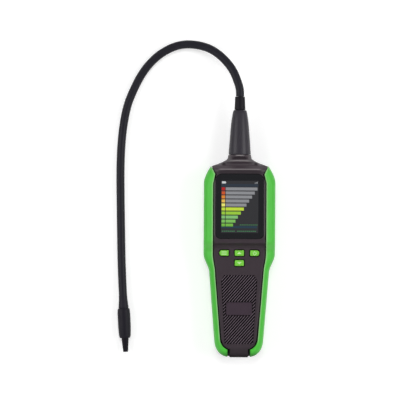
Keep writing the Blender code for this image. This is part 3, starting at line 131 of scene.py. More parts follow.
diffuse.inputs["Color"].default_value = (PAPER_GREY, PAPER_GREY, PAPER_GREY, 1.0)
glow = nodes.new("ShaderNodeEmission")
path = nodes.new("ShaderNodeLightPath").outputs
seen = math_node(paper.node_tree, "MAXIMUM", path["Is Camera Ray"], path["Is Glossy Ray"])
seen = math_node(paper.node_tree, "MAXIMUM", seen, path["Is Transmission Ray"])
links.new(math_node(paper.node_tree, "MULTIPLY", seen, PAPER_GLOW), glow.inputs["Strength"])
both = nodes.new("ShaderNodeAddShader")
links.new(diffuse.outputs[0], both.inputs[0])
links.new(glow.outputs[0], both.inputs[1])
links.new(both.outputs[0], nodes["Material Output"].inputs["Surface"])
cove.data.materials.append(paper)

world = bpy.data.worlds.new("studio_air")
bpy.context.scene.world = world
world.use_nodes = True
air = world.node_tree.nodes["Background"].inputs
air["Color"].default_value = (1.0, 1.0, 1.0, 1.0)
air["Strength"].default_value = 0.30
bpy.context.scene.view_settings.view_transform = "Standard"

LAMPS = (  # name, place, size, power
    ("right_softbox", (1.30, 0.15, 1.25), 0.9, 12.9),
    ("left_softbox", (-1.40, 0.10, 1.20), 0.9, 11.0),
    ("upper_softbox", (-0.05, 0.85, 2.30), 0.6, 13.0),
    ("lower_softbox", (0.10, -1.60, 1.50), 1.1, 4.0),
)
LAMP_AIM = Vector((-0.03, 0.0, 0.0))
for name, place, size, power in LAMPS:
    lamp = bpy.data.lights.new(name, "AREA")
    lamp.size = size
    lamp.energy = power
    holder = bpy.data.objects.new(name, lamp)
    bpy.context.scene.collection.objects.link(holder)
    holder.location = place
    holder.visible_glossy = name != "upper_softbox"
    holder.rotation_euler = (LAMP_AIM - Vector(place)).to_track_quat("-Z", "Y").to_euler()

CAMERA_HEIGHT = 2.5
PICTURE_LEVEL = 0.020
PICTURE_WIDTH = 0.420  # what the 400 pixels take in at that level
camera = bpy.data.cameras.new("camera")
camera.sensor_width = 36.0
camera.lens = camera.sensor_width * (CAMERA_HEIGHT - PICTURE_LEVEL) / PICTURE_WIDTH
camera.clip_end = 60.0
viewpoint = bpy.data.objects.new("camera", camera)
bpy.context.scene.collection.objects.link(viewpoint)
viewpoint.location = (-0.0414, 0.0278, CAMERA_HEIGHT)
viewpoint.rotation_euler = (0.0, 0.0, math.radians(0.33))
bpy.context.scene.camera = viewpoint

# Gooseneck: a flexible metal coil with a smooth black covering, bent by hand and
# keeping its bend. It leaves the ferrule on the neck and ends in the sensing head.
GOOSENECK_RADIUS = 0.00435
GOOSENECK_ROUTE = np.array(  # x, station, height, as the CAD model's own route
    [
        (0.0000, 0.2736, 0.0200), (-0.0002, 0.2800, 0.0200), (-0.0026, 0.2890, 0.0197),
        (-0.0063, 0.2982, 0.0190), (-0.0112, 0.3060, 0.0179), (-0.0175, 0.3132, 0.0165),
        (-0.0250, 0.3195, 0.0149), (-0.0340, 0.3245, 0.0130), (-0.0440, 0.3274, 0.0111),
        (-0.0546, 0.3285, 0.0094), (-0.0650, 0.3273, 0.0079), (-0.0750, 0.3236, 0.0066),
        (-0.0845, 0.3179, 0.0056), (-0.0930, 0.3105, 0.0049), (-0.1005, 0.3015, 0.0045),
        (-0.1070, 0.2910, 0.0044), (-0.1124, 0.2798, 0.0044), (-0.1170, 0.2685, 0.0044),
        (-0.1203, 0.2565, 0.0044), (-0.1229, 0.2415, 0.0044), (-0.1246, 0.2240, 0.0044),
        (-0.1255, 0.2030, 0.0044), (-0.1255, 0.1800, 0.0044), (-0.1250, 0.1500, 0.0044),
        (-0.1244, 0.1220, 0.0045), (-0.1237, 0.0960, 0.0050), (-0.1229, 0.0780, 0.0060),
        (-0.1221, 0.0628, 0.0068),
    ]
)
GOOSENECK_RINGS = 260
GOOSENECK_SIDES = 40
COIL_PITCH = 0.0026
COIL_RELIEF = 0.00004
COIL_DROP = 0.00002  # the coil's crests lie this far inside the CAD solid


def spline_through(route, count):
    """Points at even steps along the natural cubic spline through the route.

    Its second derivatives solve the usual three-term system over chord lengths, and are
    zero at both ends.
    """
    knots = np.concatenate(([0.0], np.cumsum(np.linalg.norm(np.diff(route, axis=0), axis=1))))
    gaps = np.diff(knots)
    size = len(route)
    system = np.eye(size)
    inner = np.arange(1, size - 1)
    system[inner, inner - 1] = gaps[:-1]
    system[inner, inner] = 2 * (gaps[:-1] + gaps[1:])
    system[inner, inner + 1] = gaps[1:]
    slope = np.diff(route, axis=0) / gaps[:, None]
    right = np.zeros((size, 3))
    right[1:-1] = 6 * np.diff(slope, axis=0)
    bends = np.linalg.solve(system, right)
    where = np.linspace(0.0, knots[-1], count)
    piece = np.clip(np.searchsorted(knots, where, side="right") - 1, 0, size - 2)
    gap = gaps[piece][:, None]
    before = (knots[piece + 1] - where)[:, None]
    after = (where - knots[piece])[:, None]
    curve = (bends[piece] * before**3 + bends[piece + 1] * after**3) / (6 * gap)
    curve += (route[piece] / gap - bends[piece] * gap / 6) * before
    return curve + (route[piece + 1] / gap - bends[piece + 1] * gap / 6) * after


def node_group(name, inputs, outputs):
    """An empty shader group with its named sockets; returns it with its input and output nodes."""
    group = bpy.data.node_groups.new(name, "ShaderNodeTree")
    for label, kind, value in inputs:
        group.interface.new_socket(name=label, in_out="INPUT", socket_type=kind).default_value = value
    for label, kind in outputs:
        group.interface.new_socket(name=label, in_out="OUTPUT", socket_type=kind)
    return group, group.nodes.new("NodeGroupInput"), group.nodes.new("NodeGroupOutput")


def noise_node(tree, place, scale, detail=2.0, roughness=0.5):
    """Noise in the object's own coordinates; scale is in lumps to a metre, a socket or a number."""
    node = tree.nodes.new("ShaderNodeTexNoise")
    node.inputs["Detail"].default_value = detail
    node.inputs["Roughness"].default_value = roughness
    tree.links.new(place, node.inputs["Vector"])
    if isinstance(scale, (int, float)):
        node.inputs["Scale"].default_value = scale
    else:
        tree.links.new(scale, node.inputs["Scale"])
    return node.outputs["Fac"]


COLOUR, NUMBER = "NodeSocketColor", "NodeSocketFloat"
moulded_surface, given, result = node_group(
    "moulded_surface",
    (
        ("Colour", COLOUR, (0.5, 0.5, 0.5, 1.0)),
        ("Roughness", NUMBER, 0.5),
        ("Grain", NUMBER, 2600.0),
        ("Relief", NUMBER, 1.0),
        ("Handling", NUMBER, 0.10),
    ),
    (("Colour", COLOUR), ("Roughness", NUMBER), ("Height", NUMBER)),
)
tree = moulded_surface
place = tree.nodes.new("ShaderNodeTexCoord").outputs["Object"]
fine = noise_node(tree, place, given.outputs["Grain"], 2.0, 0.6)
broad = math_node(tree, "MULTIPLY", noise_node(tree, place, 55.0, 3.0, 0.55), 0.7)
smear = math_node(tree, "MULTIPLY", noise_node(tree, place, 260.0, 2.0, 0.5), 0.3)
shade = math_node(tree, "SUBTRACT", math_node(tree, "ADD", broad, smear), 0.5)
shade = math_node(tree, "MULTIPLY", shade, given.outputs["Handling"])
gain = math_node(tree, "ADD", math_node(tree, "MULTIPLY", shade, 4.0), 1.0)
tint = tree.nodes.new("ShaderNodeVectorMath")
tint.operation = "SCALE"
tree.links.new(given.outputs["Colour"], tint.inputs[0])
tree.links.new(gain, tint.inputs["Scale"])
tree.links.new(tint.outputs[0], result.inputs["Colour"])
rough = math_node(tree, "ADD", given.outputs["Roughness"], math_node(tree, "MULTIPLY", shade, -2.0))
speckle = math_node(tree, "MULTIPLY", math_node(tree, "SUBTRACT", fine, 0.5), 0.12)
rough = math_node(tree, "ADD", rough, speckle)
tree.links.new(rough, result.inputs["Roughness"])
tree.links.new(math_node(tree, "MULTIPLY", fine, given.outputs["Relief"]), result.inputs["Height"])


def moulded_material(
    name, colour, roughness, grain=2600.0, relief=1.0, handling=0.10, depth=0.00003, specular=0.5
):
    """A moulded finish of a screen colour: the shared group feeds its colour, roughness and bump."""
    material = bpy.data.materials.new(name)
    material.use_nodes = True
    nodes, links = material.node_tree.nodes, material.node_tree.links
    shader = nodes["Principled BSDF"]
    surface = nodes.new("ShaderNodeGroup")
    surface.node_tree = moulded_surface
    values = (srgb(*colour), roughness, grain, relief, handling)
    for label, value in zip(("Colour", "Roughness", "Grain", "Relief", "Handling"), values):
        surface.inputs[label].default_value = value
    bump = nodes.new("ShaderNodeBump")
    bump.inputs["Strength"].default_value = 1.0
    bump.inputs["Distance"].default_value = depth
    links.new(surface.outputs["Colour"], shader.inputs["Base Color"])
    links.new(surface.outputs["Roughness"], shader.inputs["Roughness"])
    links.new(surface.outputs["Height"], bump.inputs["Height"])
    links.new(bump.outputs["Normal"], shader.inputs["Normal"])
    shader.inputs["Specular IOR Level"].default_value = specular
    return material


def with_painted_shading(material, light, dark):
    """Paints light and shade into the material from the mesh's own attribute of painted shading.

    Above zero it pulls the colour to the light one, a painted highlight, and below zero to
    the dark one, painted shade, where the surface is also duller.
    """
    nodes, links = material.node_tree.nodes, material.node_tree.links
    shader = nodes["Principled BSDF"]
    light_and_shade = nodes.new("ShaderNodeAttribute")
    light_and_shade.attribute_name = "light_and_shade"
    colour = shader.inputs["Base Color"].links[0].from_socket
    for way, target in ((1.0, light), (-1.0, dark)):
        share = nodes.new("ShaderNodeMath")
        share.operation = "MULTIPLY"
        share.use_clamp = True
        share.inputs[1].default_value = way
        links.new(light_and_shade.outputs["Fac"], share.inputs[0])
        blend = nodes.new("ShaderNodeMix")
        blend.data_type = "RGBA"
        links.new(share.outputs[0], blend.inputs["Factor"])
        links.new(colour, blend.inputs[6])
        blend.inputs[7].default_value = srgb(*target)
        colour = blend.outputs[2]
    links.new(colour, shader.inputs["Base Color"])
    dull = nodes.new("ShaderNodeMath")
    dull.operation = "MULTIPLY_ADD"
    links.new(share.outputs[0], dull.inputs[0])
    dull.inputs[1].default_value = 0.45
    links.new(shader.inputs["Roughness"].links[0].from_socket, dull.inputs[2])
    links.new(dull.outputs[0], shader.inputs["Roughness"])
    return material


def set_painted_shading(mesh, rule):
    """Writes the rule's value for each corner point (x, station, height) as the mesh's painted light and
    shade.
    """
    place = np.empty(len(mesh.vertices) * 3, np.float32)
    mesh.vertices.foreach_get("co", place)
    x, s, z = (place.reshape(-1, 3) + (0.0, MIDDLE, 0.0)).T
    light_and_shade = mesh.attributes.new("light_and_shade", "FLOAT", "POINT")
    light_and_shade.data.foreach_set("value", np.clip(rule(x, s, z), -1.0, 1.0).astype(np.float32))


def ring_frames(points):
    """For each point of a path its direction, its level side, and what is square to both."""
    ahead = np.gradient(points, axis=0)
    ahead /= np.linalg.norm(ahead, axis=1, keepdims=True)
    side = np.cross(ahead, [0.0, 0.0, 1.0])
    side /= np.linalg.norm(side, axis=1, keepdims=True)
    return ahead, side, np.cross(side, ahead)


def outward(points, quads):
    """The quads, facing out of the solid: turned round when the sum of middle . normal is negative."""
    corner = points[quads]
    normal = np.cross(corner[:, 2] - corner[:, 0], corner[:, 3] - corner[:, 1])
    facing = ((corner.mean(axis=1) - points.mean(axis=0)) * normal).sum()
    return quads if facing > 0 else quads[:, ::-1]


def face_out(mesh):
    """Turns every face of a closed mesh to face out of it."""
    work = bmesh.new()
    work.from_mesh(mesh)
    bmesh.ops.recalc_face_normals(work, faces=work.faces)
    work.to_mesh(mesh)
    work.free()


gooseneck_line = spline_through(GOOSENECK_ROUTE - (0.0, MIDDLE, 0.0), GOOSENECK_RINGS)
gooseneck_length = float(np.linalg.norm(np.diff(gooseneck_line, axis=0), axis=1).sum())
along = np.linspace(0.0, gooseneck_length, GOOSENECK_RINGS)
ahead, side, above = ring_frames(gooseneck_line)
turn = angles_round(GOOSENECK_SIDES)
coil = 0.5 * COIL_RELIEF * (np.cos(2 * np.pi * along / COIL_PITCH) - 1)
radius = (GOOSENECK_RADIUS - COIL_DROP + coil)[:, None, None]
gooseneck_grid = gooseneck_line[:, None] + radius * (
    side[:, None] * np.cos(turn)[:, None] + above[:, None] * np.sin(turn)[:, None]
)
gooseneck_points = gooseneck_grid.reshape(-1, 3)
gooseneck_faces = outward(gooseneck_points, fan_index(GOOSENECK_RINGS, GOOSENECK_SIDES)).tolist()
last_ring = (GOOSENECK_RINGS - 1) * GOOSENECK_SIDES
gooseneck_faces += [
    list(range(GOOSENECK_SIDES))[::-1],
    list(range(last_ring, last_ring + GOOSENECK_SIDES)),
]
gooseneck_mesh = mesh_of("gooseneck_tube", gooseneck_points, gooseneck_faces, 50.0)
face_out(gooseneck_mesh)
gooseneck_finish = moulded_material(
    "gooseneck_covering", (35, 34, 41), 0.42, grain=1500.0, handling=0.08, specular=0.14
)
gooseneck = add_object("gooseneck_tube", gooseneck_mesh, gooseneck_finish)
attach(gooseneck, "handset")
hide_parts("gooseneck")

# Sensing head: a soft boot on the end of the gooseneck, a moulded barrel round the
# sensor and a soft conical nozzle pushed into the barrel's mouth. The nozzle pulls off.
HEAD_LEAN = math.radians(3.1)
HEAD_GAP = 0.0003
HEAD_AXIS = np.array([math.sin(HEAD_LEAN), -math.cos(HEAD_LEAN), 0.0])
HEAD_START = GOOSENECK_ROUTE[-1] - (0.0, MIDDLE, 0.0) + HEAD_AXIS * HEAD_GAP
BOOT_LENGTH = 0.0126
BARREL_START = BOOT_LENGTH + HEAD_GAP
BARREL_LENGTH = 0.0312
NOZZLE_START = BARREL_START + BARREL_LENGTH + HEAD_GAP
NOZZLE_LENGTH = 0.0144


def quadratic(share, start, pull, end):
    """The quadratic curve (1 - t)^2 start + 2 t (1 - t) pull + t^2 end at each share t."""
    return (1 - share) ** 2 * start + 2 * share * (1 - share) * pull + share**2 * end


def eased(corners, steps=5):
    """A profile of (along, radius, ease) corners, each rounded from one ease before to one after."""
    corners = np.array(corners)
    spot, ease = corners[:, :2], corners[:, 2:]
    before = np.roll(spot, 1, axis=0) - spot
    after = np.roll(spot, -1, axis=0) - spot
    before /= np.maximum(np.linalg.norm(before, axis=1, keepdims=True), 1e-9)
    after /= np.maximum(np.linalg.norm(after, axis=1, keepdims=True), 1e-9)
    share = np.linspace(0.0, 1.0, steps)[None, :, None]
    start = (spot + before * ease)[:, None]
    end = (spot + after * ease)[:, None]
    return quadratic(share, start, spot[:, None], end).reshape(-1, 2)


def lathe(name, finish, profile, start, axis, sides=64, closed=True):
    """A profile of (along, radius) points turned about a level axis through start.

    Closed, it is a ring with a bore; open, it begins and ends on the axis.
    """
    axis = np.array(axis) / np.linalg.norm(axis)
    side = np.cross(axis, [0.0, 0.0, 1.0])
    side /= np.linalg.norm(side)
    above = np.cross(side, axis)
    turn = angles_round(sides)
    spoke = side * np.cos(turn)[:, None] + above * np.sin(turn)[:, None]
    grid = np.array(start) + profile[:, None, :1] * axis + profile[:, None, 1:] * spoke
    points = grid.reshape(-1, 3)
    faces = outward(points, fan_index(len(profile), sides, closed)).tolist()
    return add_object(name, mesh_of(name, points, faces), finish)


boot_profile = eased(
    [
        (-0.0008, 0.0, 0.0),
        (-0.0008, GOOSENECK_RADIUS + 0.00003, 0.0001),
        (0.0035, 0.00452, 0.0015),
        (0.0088, 0.00508, 0.0015),
        (0.0118, 0.0053, 0.0006),
        (BOOT_LENGTH, 0.00525, 0.0003),
        (BOOT_LENGTH, 0.0047, 0.0),
        (BARREL_START + 0.006, 0.0047, 0.0003),
        (BARREL_START + 0.006, 0.0, 0.0),
    ]
)
boot_finish = moulded_material("boot_rubber", (36, 34, 42), 0.48, grain=1800.0, handling=0.08, specular=0.14)
boot = lathe("head_boot", boot_finish, boot_profile, HEAD_START, HEAD_AXIS, closed=False)
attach(boot, "handset")
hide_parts("probe_boot")

barrel_end = BARREL_START + BARREL_LENGTH
barrel_profile = eased(
    [
        (BARREL_START, 0.0050, 0.0),
        (BARREL_START, 0.0060, 0.00025),
        (BARREL_START + 0.05 * BARREL_LENGTH, 0.00645, 0.0006),
        (BARREL_START + 0.18 * BARREL_LENGTH, 0.00675, 0.0015),
        (BARREL_START + 0.60 * BARREL_LENGTH, 0.00675, 0.004),
        (BARREL_START + 0.80 * BARREL_LENGTH, 0.00645, 0.002),
        (BARREL_START + 0.94 * BARREL_LENGTH, 0.0061, 0.0005),
        (barrel_end, 0.0053, 0.0003),
        (barrel_end, 0.0034, 0.0001),
        (barrel_end - 0.0047, 0.0034, 0.0),
        (barrel_end - 0.0047, 0.0050, 0.0),
    ]
)
barrel_finish = moulded_material(
    "barrel_plastic", (29, 27, 35), 0.45, grain=2400.0, handling=0.10, specular=0.16
)
barrel = lathe("head_barrel", barrel_finish, barrel_profile, HEAD_START, HEAD_AXIS, 72)
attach(barrel, "handset")
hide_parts("sensor_housing")

nozzle_profile = eased(
    [
        (-0.004, 0.0031, 0.0003),
        (0.0, 0.0031, 0.0),
        (0.0, 0.0038, 0.0002),
        (0.0030, 0.0036, 0.0012),
        (0.0110, 0.00285, 0.0015),
        (NOZZLE_LENGTH, 0.0026, 0.0006),
        (NOZZLE_LENGTH, 0.0013, 0.0002),
        (-0.004, 0.0013, 0.0001),
    ]
)
nozzle_finish = moulded_material(
    "nozzle_rubber", (22, 19, 27), 0.48, grain=2000.0, handling=0.08, specular=0.14
)
nozzle_place = HEAD_START + HEAD_AXIS * NOZZLE_START
nozzle = lathe("head_nozzle", nozzle_finish, nozzle_profile, nozzle_place, HEAD_AXIS, 56)
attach(nozzle, "sensor_nozzle")
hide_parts("sensor_nozzle")

# Neck: a soft grey sleeve, trapped by its flange in the covers' collar, with a black
# ferrule in its nose that grips the gooseneck. The air hose runs through both.
NECK_AXIS = 0.0200
SLEEVE_BASE = 0.2123
SLEEVE_END = 0.2591
SLEEVE_RADIUS, SLEEVE_TAPER, SLEEVE_CURVE = 0.01175, 0.0033, 0.0015
sleeve_share = np.linspace(1.0, 0.0, 34)
sleeve_outer = np.stack(
    [
        SLEEVE_BASE + (SLEEVE_END - SLEEVE_BASE) * sleeve_share,
        SLEEVE_RADIUS - SLEEVE_TAPER * sleeve_share - SLEEVE_CURVE * sleeve_share**5,
    ],
    axis=-1,
)
between = (sleeve_outer[:, 0] < SLEEVE_END - 0.0008) & (sleeve_outer[:, 0] > SLEEVE_BASE + 0.0012)
sleeve_outer = sleeve_outer[between]
nose_radius = SLEEVE_RADIUS - SLEEVE_TAPER - SLEEVE_CURVE
sleeve_nose = eased(
    [
        (SLEEVE_END - 0.0004, nose_radius - 0.0014, 0.0),
        (SLEEVE_END, nose_radius - 0.0008, 0.0003),
        (SLEEVE_END - 0.0006, nose_radius + 0.0001, 0.0004),
    ]
)[5:]
sleeve_foot = eased(
    [(SLEEVE_BASE + 0.0012, 0.01168, 0.0), (SLEEVE_BASE, 0.01172, 0.0008), (SLEEVE_BASE, 0.0096, 0.0001)]
)[5:]
sleeve_inner = np.array(
    [
        (0.1947, 0.0096), (0.1947, 0.0120), (0.1915, 0.0120), (0.1915, 0.0022),
        (0.2498, 0.0022), (0.2498, 0.0043), (SLEEVE_END - 0.0004, 0.0043),
    ]
)
sleeve_profile = np.vstack([sleeve_nose, sleeve_outer, sleeve_foot, sleeve_inner])
neck_finish = moulded_material("neck_rubber", (53, 50, 57), 0.35, grain=2400.0, handling=0.08, specular=0.24)
neck_start = (0.0, -MIDDLE, NECK_AXIS)
sleeve = lathe("neck_boot", neck_finish, sleeve_profile, neck_start, (0, 1, 0), 96)
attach(sleeve, "handset")
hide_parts("neck_sleeve")

ferrule_profile = eased(
    [
        (0.2733, 0.0022, 0.0001),
        (0.2733, 0.0045, 0.0002),
        (0.2728, 0.0052, 0.0003),
        (0.2645, 0.0055, 0.0010),
        (0.2594, 0.0058, 0.0002),
        (0.2594, 0.0040, 0.0001),
        (0.2501, 0.0040, 0.0002),
        (0.2501, 0.0022, 0.0001),
    ]
)
ferrule_finish = moulded_material(
    "ferrule_rubber", (25, 23, 29), 0.48, grain=1800.0, handling=0.08, specular=0.14
)
ferrule = lathe("neck_collar", ferrule_finish, ferrule_profile, neck_start, (0, 1, 0), 56)
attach(ferrule, "handset")
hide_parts("neck_ferrule")

# Front cover: the dark moulded front half of the case. A raised panel runs from the
# tongue at the lower end past the keys and steps up to the screen; behind the screen
# it falls away to the collar round the neck. The bumpers sit in its recessed sides.
HANDLE_HEIGHT, HEAD_HEIGHT = 0.035, 0.041
HANDLE_PANEL, HEAD_PANEL = 0.0345, 0.0405
END_LENGTH = 0.017
CREST, COLLAR_START, COLLAR_END, COLLAR_RADIUS = 0.1966, 0.2085, 0.212, 0.013
SHOULDER_END = 0.200
CREASE_START, CREASE_END = 0.116, 0.120
FLARE_START, FLARE_END = 0.088, 0.108  # the handle widens to the head
HEEL_START, HEEL_END = 0.0084, 0.018  # the front opening widens from the tongue
NOTCH_START, NOTCH_END = 0.182, 0.1914  # the bumpers' edges turn in
TIP_HALF = 0.0298  # where those edges end, at the end of the shoulders
NOSE_LENGTH = 0.009  # how far the lower end is rounded in its height
PARTING = 0.017
FRONT_PARTING, REAR_PARTING = PARTING + 0.00015, PARTING + 0.00021
BUMPER_DEPTH = 0.0022
PANEL_GAP = 0.0008
FIT = 0.0003


def ramp(value, start, end):
    """A straight ramp from 0 at start to 1 at end."""
    return np.clip((value - start) / (end - start), 0.0, 1.0)


def soft_ramp(value, start, end):
    """A ramp from 0 to 1 that leaves and arrives level: 3t^2 - 2t^3."""
    share = ramp(value, start, end)
    return share * share * (3 - 2 * share)


def flare(s):
    """How far the case has widened from the handle to the head, 0 to 1."""
    return soft_ramp(s, FLARE_START, FLARE_END)


def end_fall(s, length, depth, power):
    """How far a rounded end has fallen back: depth (1 - (1 - t^power)^(1 / power)), t from its start."""
    away = np.clip(1 - s / length, 0.0, 1.0)
    return depth * (1 - (1 - away**power) ** (1 / power))


def half_width(s):
    """Half the width over the bumpers: a taper, the flare, the rounded end, the shoulders and the neck."""
    half = 0.0243 + 0.0070 * np.minimum(s / FLARE_START, 1.0) + 0.0061 * flare(s)
    half = half - end_fall(s, END_LENGTH, 0.0145, 2.2) - 0.0072 * ramp(s, 0.183, SHOULDER_END) ** 1.6
    neck = COLLAR_RADIUS + (half - COLLAR_RADIUS) * (1 - ramp(s, SHOULDER_END, COLLAR_START)) ** 1.5
    half = np.where(s > SHOULDER_END, neck, half)
    return half - 0.0006 * ramp(s, COLLAR_START, COLLAR_END)


def case_top(s):
    """The height over the bumpers: a soft step up to the head, the rounded end and the fall to the collar."""
    high = HANDLE_HEIGHT + (HEAD_HEIGHT - HANDLE_HEIGHT) * soft_ramp(s, 0.110, 0.122)
    high = high - end_fall(s, NOSE_LENGTH, 0.007, 2)
    high = high - (HEAD_HEIGHT - NECK_AXIS - COLLAR_RADIUS) * ramp(s, CREST, COLLAR_START)
    return high - 0.0006 * ramp(s, COLLAR_START, COLLAR_END)


def case_bottom(s):
    """The height of the case's underside: the rounded end and the rise to the collar."""
    low = end_fall(s, NOSE_LENGTH, 0.0055, 2) + (NECK_AXIS - COLLAR_RADIUS) * ramp(s, CREST, COLLAR_START)
    return low + 0.0006 * ramp(s, COLLAR_START, COLLAR_END)


def panel_top(s):
    """The height of the front panel: level past the keys, then up a short slope to the screen."""
    level = HANDLE_PANEL + (HEAD_PANEL - HANDLE_PANEL) * ramp(s, CREASE_START, CREASE_END)
    return level - np.where(s > CREST, HEAD_HEIGHT - case_top(s), 0.0) - end_fall(s, NOSE_LENGTH, 0.007, 2)


def strip(s):
    """The width of a bumper's strip on the front."""
    return 0.006 + 0.0036 * flare(s)


def notched(edge, s):
    """Past 182 mm a bumper's edge turns in by 2.1 mm to 191.4 mm, and then runs straight out to the tip."""
    turned_in = edge - 0.0021 * ramp(s, NOTCH_START, NOTCH_END)
    return turned_in + (TIP_HALF - turned_in) * ramp(s, NOTCH_END, SHOULDER_END)


HEEL_SHARE = np.linspace(0.0, 1.0, 80)


def front_edge(s):
    """Half the opening between the bumpers on the front.

    It is the tongue's slot, then a quadratic curve out round the heel, and then the
    strip's width inside the case's own outline.
    """
    level = np.minimum(s, NOTCH_START)
    upper = notched(half_width(level) - strip(level), s)
    heel_end = np.array(HEEL_END)
    station = quadratic(HEEL_SHARE, HEEL_START, 0.0106, HEEL_END)
    half = quadratic(HEEL_SHARE, 0.0118, 0.018, half_width(heel_end) - strip(heel_end))
    return np.where(s < HEEL_END, np.interp(s, station, half), upper)


def rear_edge(s):
    """Half the opening between the bumpers on the back."""
    return notched(0.0222 + 0.0055 * flare(s), s)


def four_quarters(steps):
    """The quarter, 0 to 3, and the angle of every point round a rectangle with rounded corners."""
    quarter = np.repeat(np.arange(4), steps + 1)
    return quarter, (quarter + np.tile(np.linspace(0.0, 1.0, steps + 1), 4)) * np.pi / 2


def rounded_sections(half, low, high, front, back, steps):
    """One row of points for each station, round a rectangle.

    Its front and back corners are quarter ellipses (across, up), kept within the width
    and the height.
    """
    squeeze = np.minimum(1.0, 0.95 * (high - low) / (front[1] + back[1]))
    quarter, angle = four_quarters(steps)
    sign = np.array([1, -1, -1, 1])[quarter]
    fore = quarter < 2
    across = np.where(fore, *(np.minimum(side[0], 0.95 * half)[:, None] for side in (front, back)))
    up = np.where(fore, *((side[1] * squeeze)[:, None] for side in (front, back)))
    x = sign * (half[:, None] - across) + across * np.cos(angle)
    z = np.where(fore, high[:, None] - up, low[:, None] + up) + up * np.sin(angle)
    return x, z


def case_grid(s, inset, steps=10):
    """The whole case's outline at each station, less an inset; its corners turn round along the neck."""
    share = ramp(s, SHOULDER_END, COLLAR_START)
    wide, high, low = half_width(s), case_top(s), case_bottom(s)
    across = strip(s) + 0.0008
    front = (across + (wide - across) * share - inset, 0.011 + (high - NECK_AXIS - 0.011) * share - inset)
    back_across, back_up = 0.0035 + 0.0035 * flare(s), 0.005 + 0.003 * flare(s)
    back = (
        np.maximum(back_across + (wide - back_across) * share - inset, FIT),
        np.maximum(back_up + (NECK_AXIS - low - back_up) * share - inset, FIT),
    )
    x, z = rounded_sections(wide - inset, low + inset, high - inset, front, back, steps)
    y = s + inset * np.maximum(1 - s / END_LENGTH, 0.0)
    return x, y[:, None], z


def lofted(name, x, station, z):
    """A closed solid through rows of points, with a flat face at each end."""
    grid = np.stack([x, np.broadcast_to(station - MIDDLE, x.shape), z], axis=-1)
    rows, columns = x.shape
    points = grid.reshape(-1, 3)
    faces = outward(points, fan_index(rows, columns)).tolist()
    faces += [list(range(columns)), list(range((rows - 1) * columns, rows * columns))]
    mesh = mesh_of(name, points, faces)
    face_out(mesh)
    return add_object(name, mesh)


def prism(name, rings, levels):
    """A solid through flat outlines, one for each level; the outlines have the same number of points."""
    rings = np.array(rings)
    z = np.repeat(np.array(levels)[:, None], rings.shape[1], axis=1)
    return lofted(name, rings[:, :, 0], rings[:, :, 1], z)


def box_faces(count):
    """The faces of separate boxes, each with its lower four corners and then its upper four."""
    faces = np.array([(3, 2, 1, 0), (4, 5, 6, 7), (0, 1, 5, 4), (1, 2, 6, 5), (2, 3, 7, 6), (3, 0, 4, 7)])
    return (faces[None] + 8 * np.arange(count)[:, None, None]).reshape(-1, 4).tolist()


def boxes(name, corners):
    """One mesh of separate boxes, each from its lowest (x, station, z) to its highest."""
    corners = np.array(corners)
    pick = np.array([(0, 0, 0), (1, 0, 0), (1, 1, 0), (0, 1, 0), (0, 0, 1), (1, 0, 1), (1, 1, 1), (0, 1, 1)])
    points = np.where(pick[None] == 0, corners[:, None, 0], corners[:, None, 1])
    points = points.reshape(-1, 3) - (0.0, MIDDLE, 0.0)
    return add_object(name, mesh_of(name, points, box_faces(len(corners))))


def rods(name, places, sides=32):
    """One mesh of separate upright cylinders, each given as x, station, radius, low and high."""
    places = np.array(places)
    turn = angles_round(sides)
    x = places[:, None, 0:1] + places[:, None, 2:3] * np.cos(turn)[None, None]
    y = places[:, None, 1:2] + places[:, None, 2:3] * np.sin(turn)[None, None] - MIDDLE
    x, y = (np.broadcast_to(v, (len(places), 2, sides)) for v in (x, y))
    z = np.broadcast_to(places[:, 3:5, None], x.shape)
    points = np.stack([x, y, z], axis=-1).reshape(-1, 3)
    wall = fan_index(2, sides)
    faces = (wall[None] + 2 * sides * np.arange(len(places))[:, None, None]).reshape(-1, 4).tolist()
    for k in range(len(places)):
        first = 2 * sides * k
        faces += [list(range(first, first + sides))[::-1], list(range(first + sides, first + 2 * sides))]
    return add_object(name, mesh_of(name, points, faces))


def combine(target, *steps):
    """Joins or cuts the target by each (operation, tool) in turn, and removes the tools."""
    for operation, tool in steps:
        change = target.modifiers.new(tool.name, "BOOLEAN")
        change.operation = operation
        change.object = tool
        change.solver = "EXACT"
    graph = bpy.context.evaluated_depsgraph_get()
    mesh = bpy.data.meshes.new_from_object(target.evaluated_get(graph))
    target.modifiers.clear()
    target.data = mesh
    for _, tool in steps:
        bpy.data.objects.remove(tool)
    mesh.shade_smooth()
    mesh.set_sharp_from_angle(angle=math.radians(28.0))


def rounded_outline(left, right, near, far, radii, steps=8):
    """A rectangle with a quarter circle at each corner: right far, left far, left near, right near."""
    quarter, angle = four_quarters(steps)
    radius = np.array(radii)[quarter]
    x = np.where((quarter == 0) | (quarter == 3), right - radius, left + radius) + radius * np.cos(angle)
    y = np.where(quarter < 2, far - radius, near + radius) + radius * np.sin(angle)
    return np.stack([x, y], axis=-1)


def rim_levels(low, top, radius, steps=5):
    """Growth and height of a cut with a rounded rim: radius (1 - cos a) wider where radius sin a higher."""
    angle = np.linspace(0.0, np.pi / 2, steps)
    growth = np.concatenate([[0.0], radius * (1 - np.cos(angle)), [radius]])
    height = np.concatenate([[low], top - radius + radius * np.sin(angle), [top + 0.01]])
    return growth, height


END_STATIONS = np.array(
    [
        0.0, 0.0002, 0.0005, 0.001, 0.0016, 0.0024, 0.0034, 0.0046, 0.006, 0.0075, 0.009, 0.011, 0.013,
        0.015, END_LENGTH,
    ]
)
BODY_STATIONS = np.concatenate([END_STATIONS, np.arange(0.0185, 0.1995, 0.0015), [SHOULDER_END]])
NECK_STATIONS = np.concatenate(
    [np.arange(SHOULDER_END + 0.0003, COLLAR_START, 0.0004), np.linspace(COLLAR_START, COLLAR_END, 6)]
)
CORE_INSET = BUMPER_DEPTH + FIT
WALL = 0.002

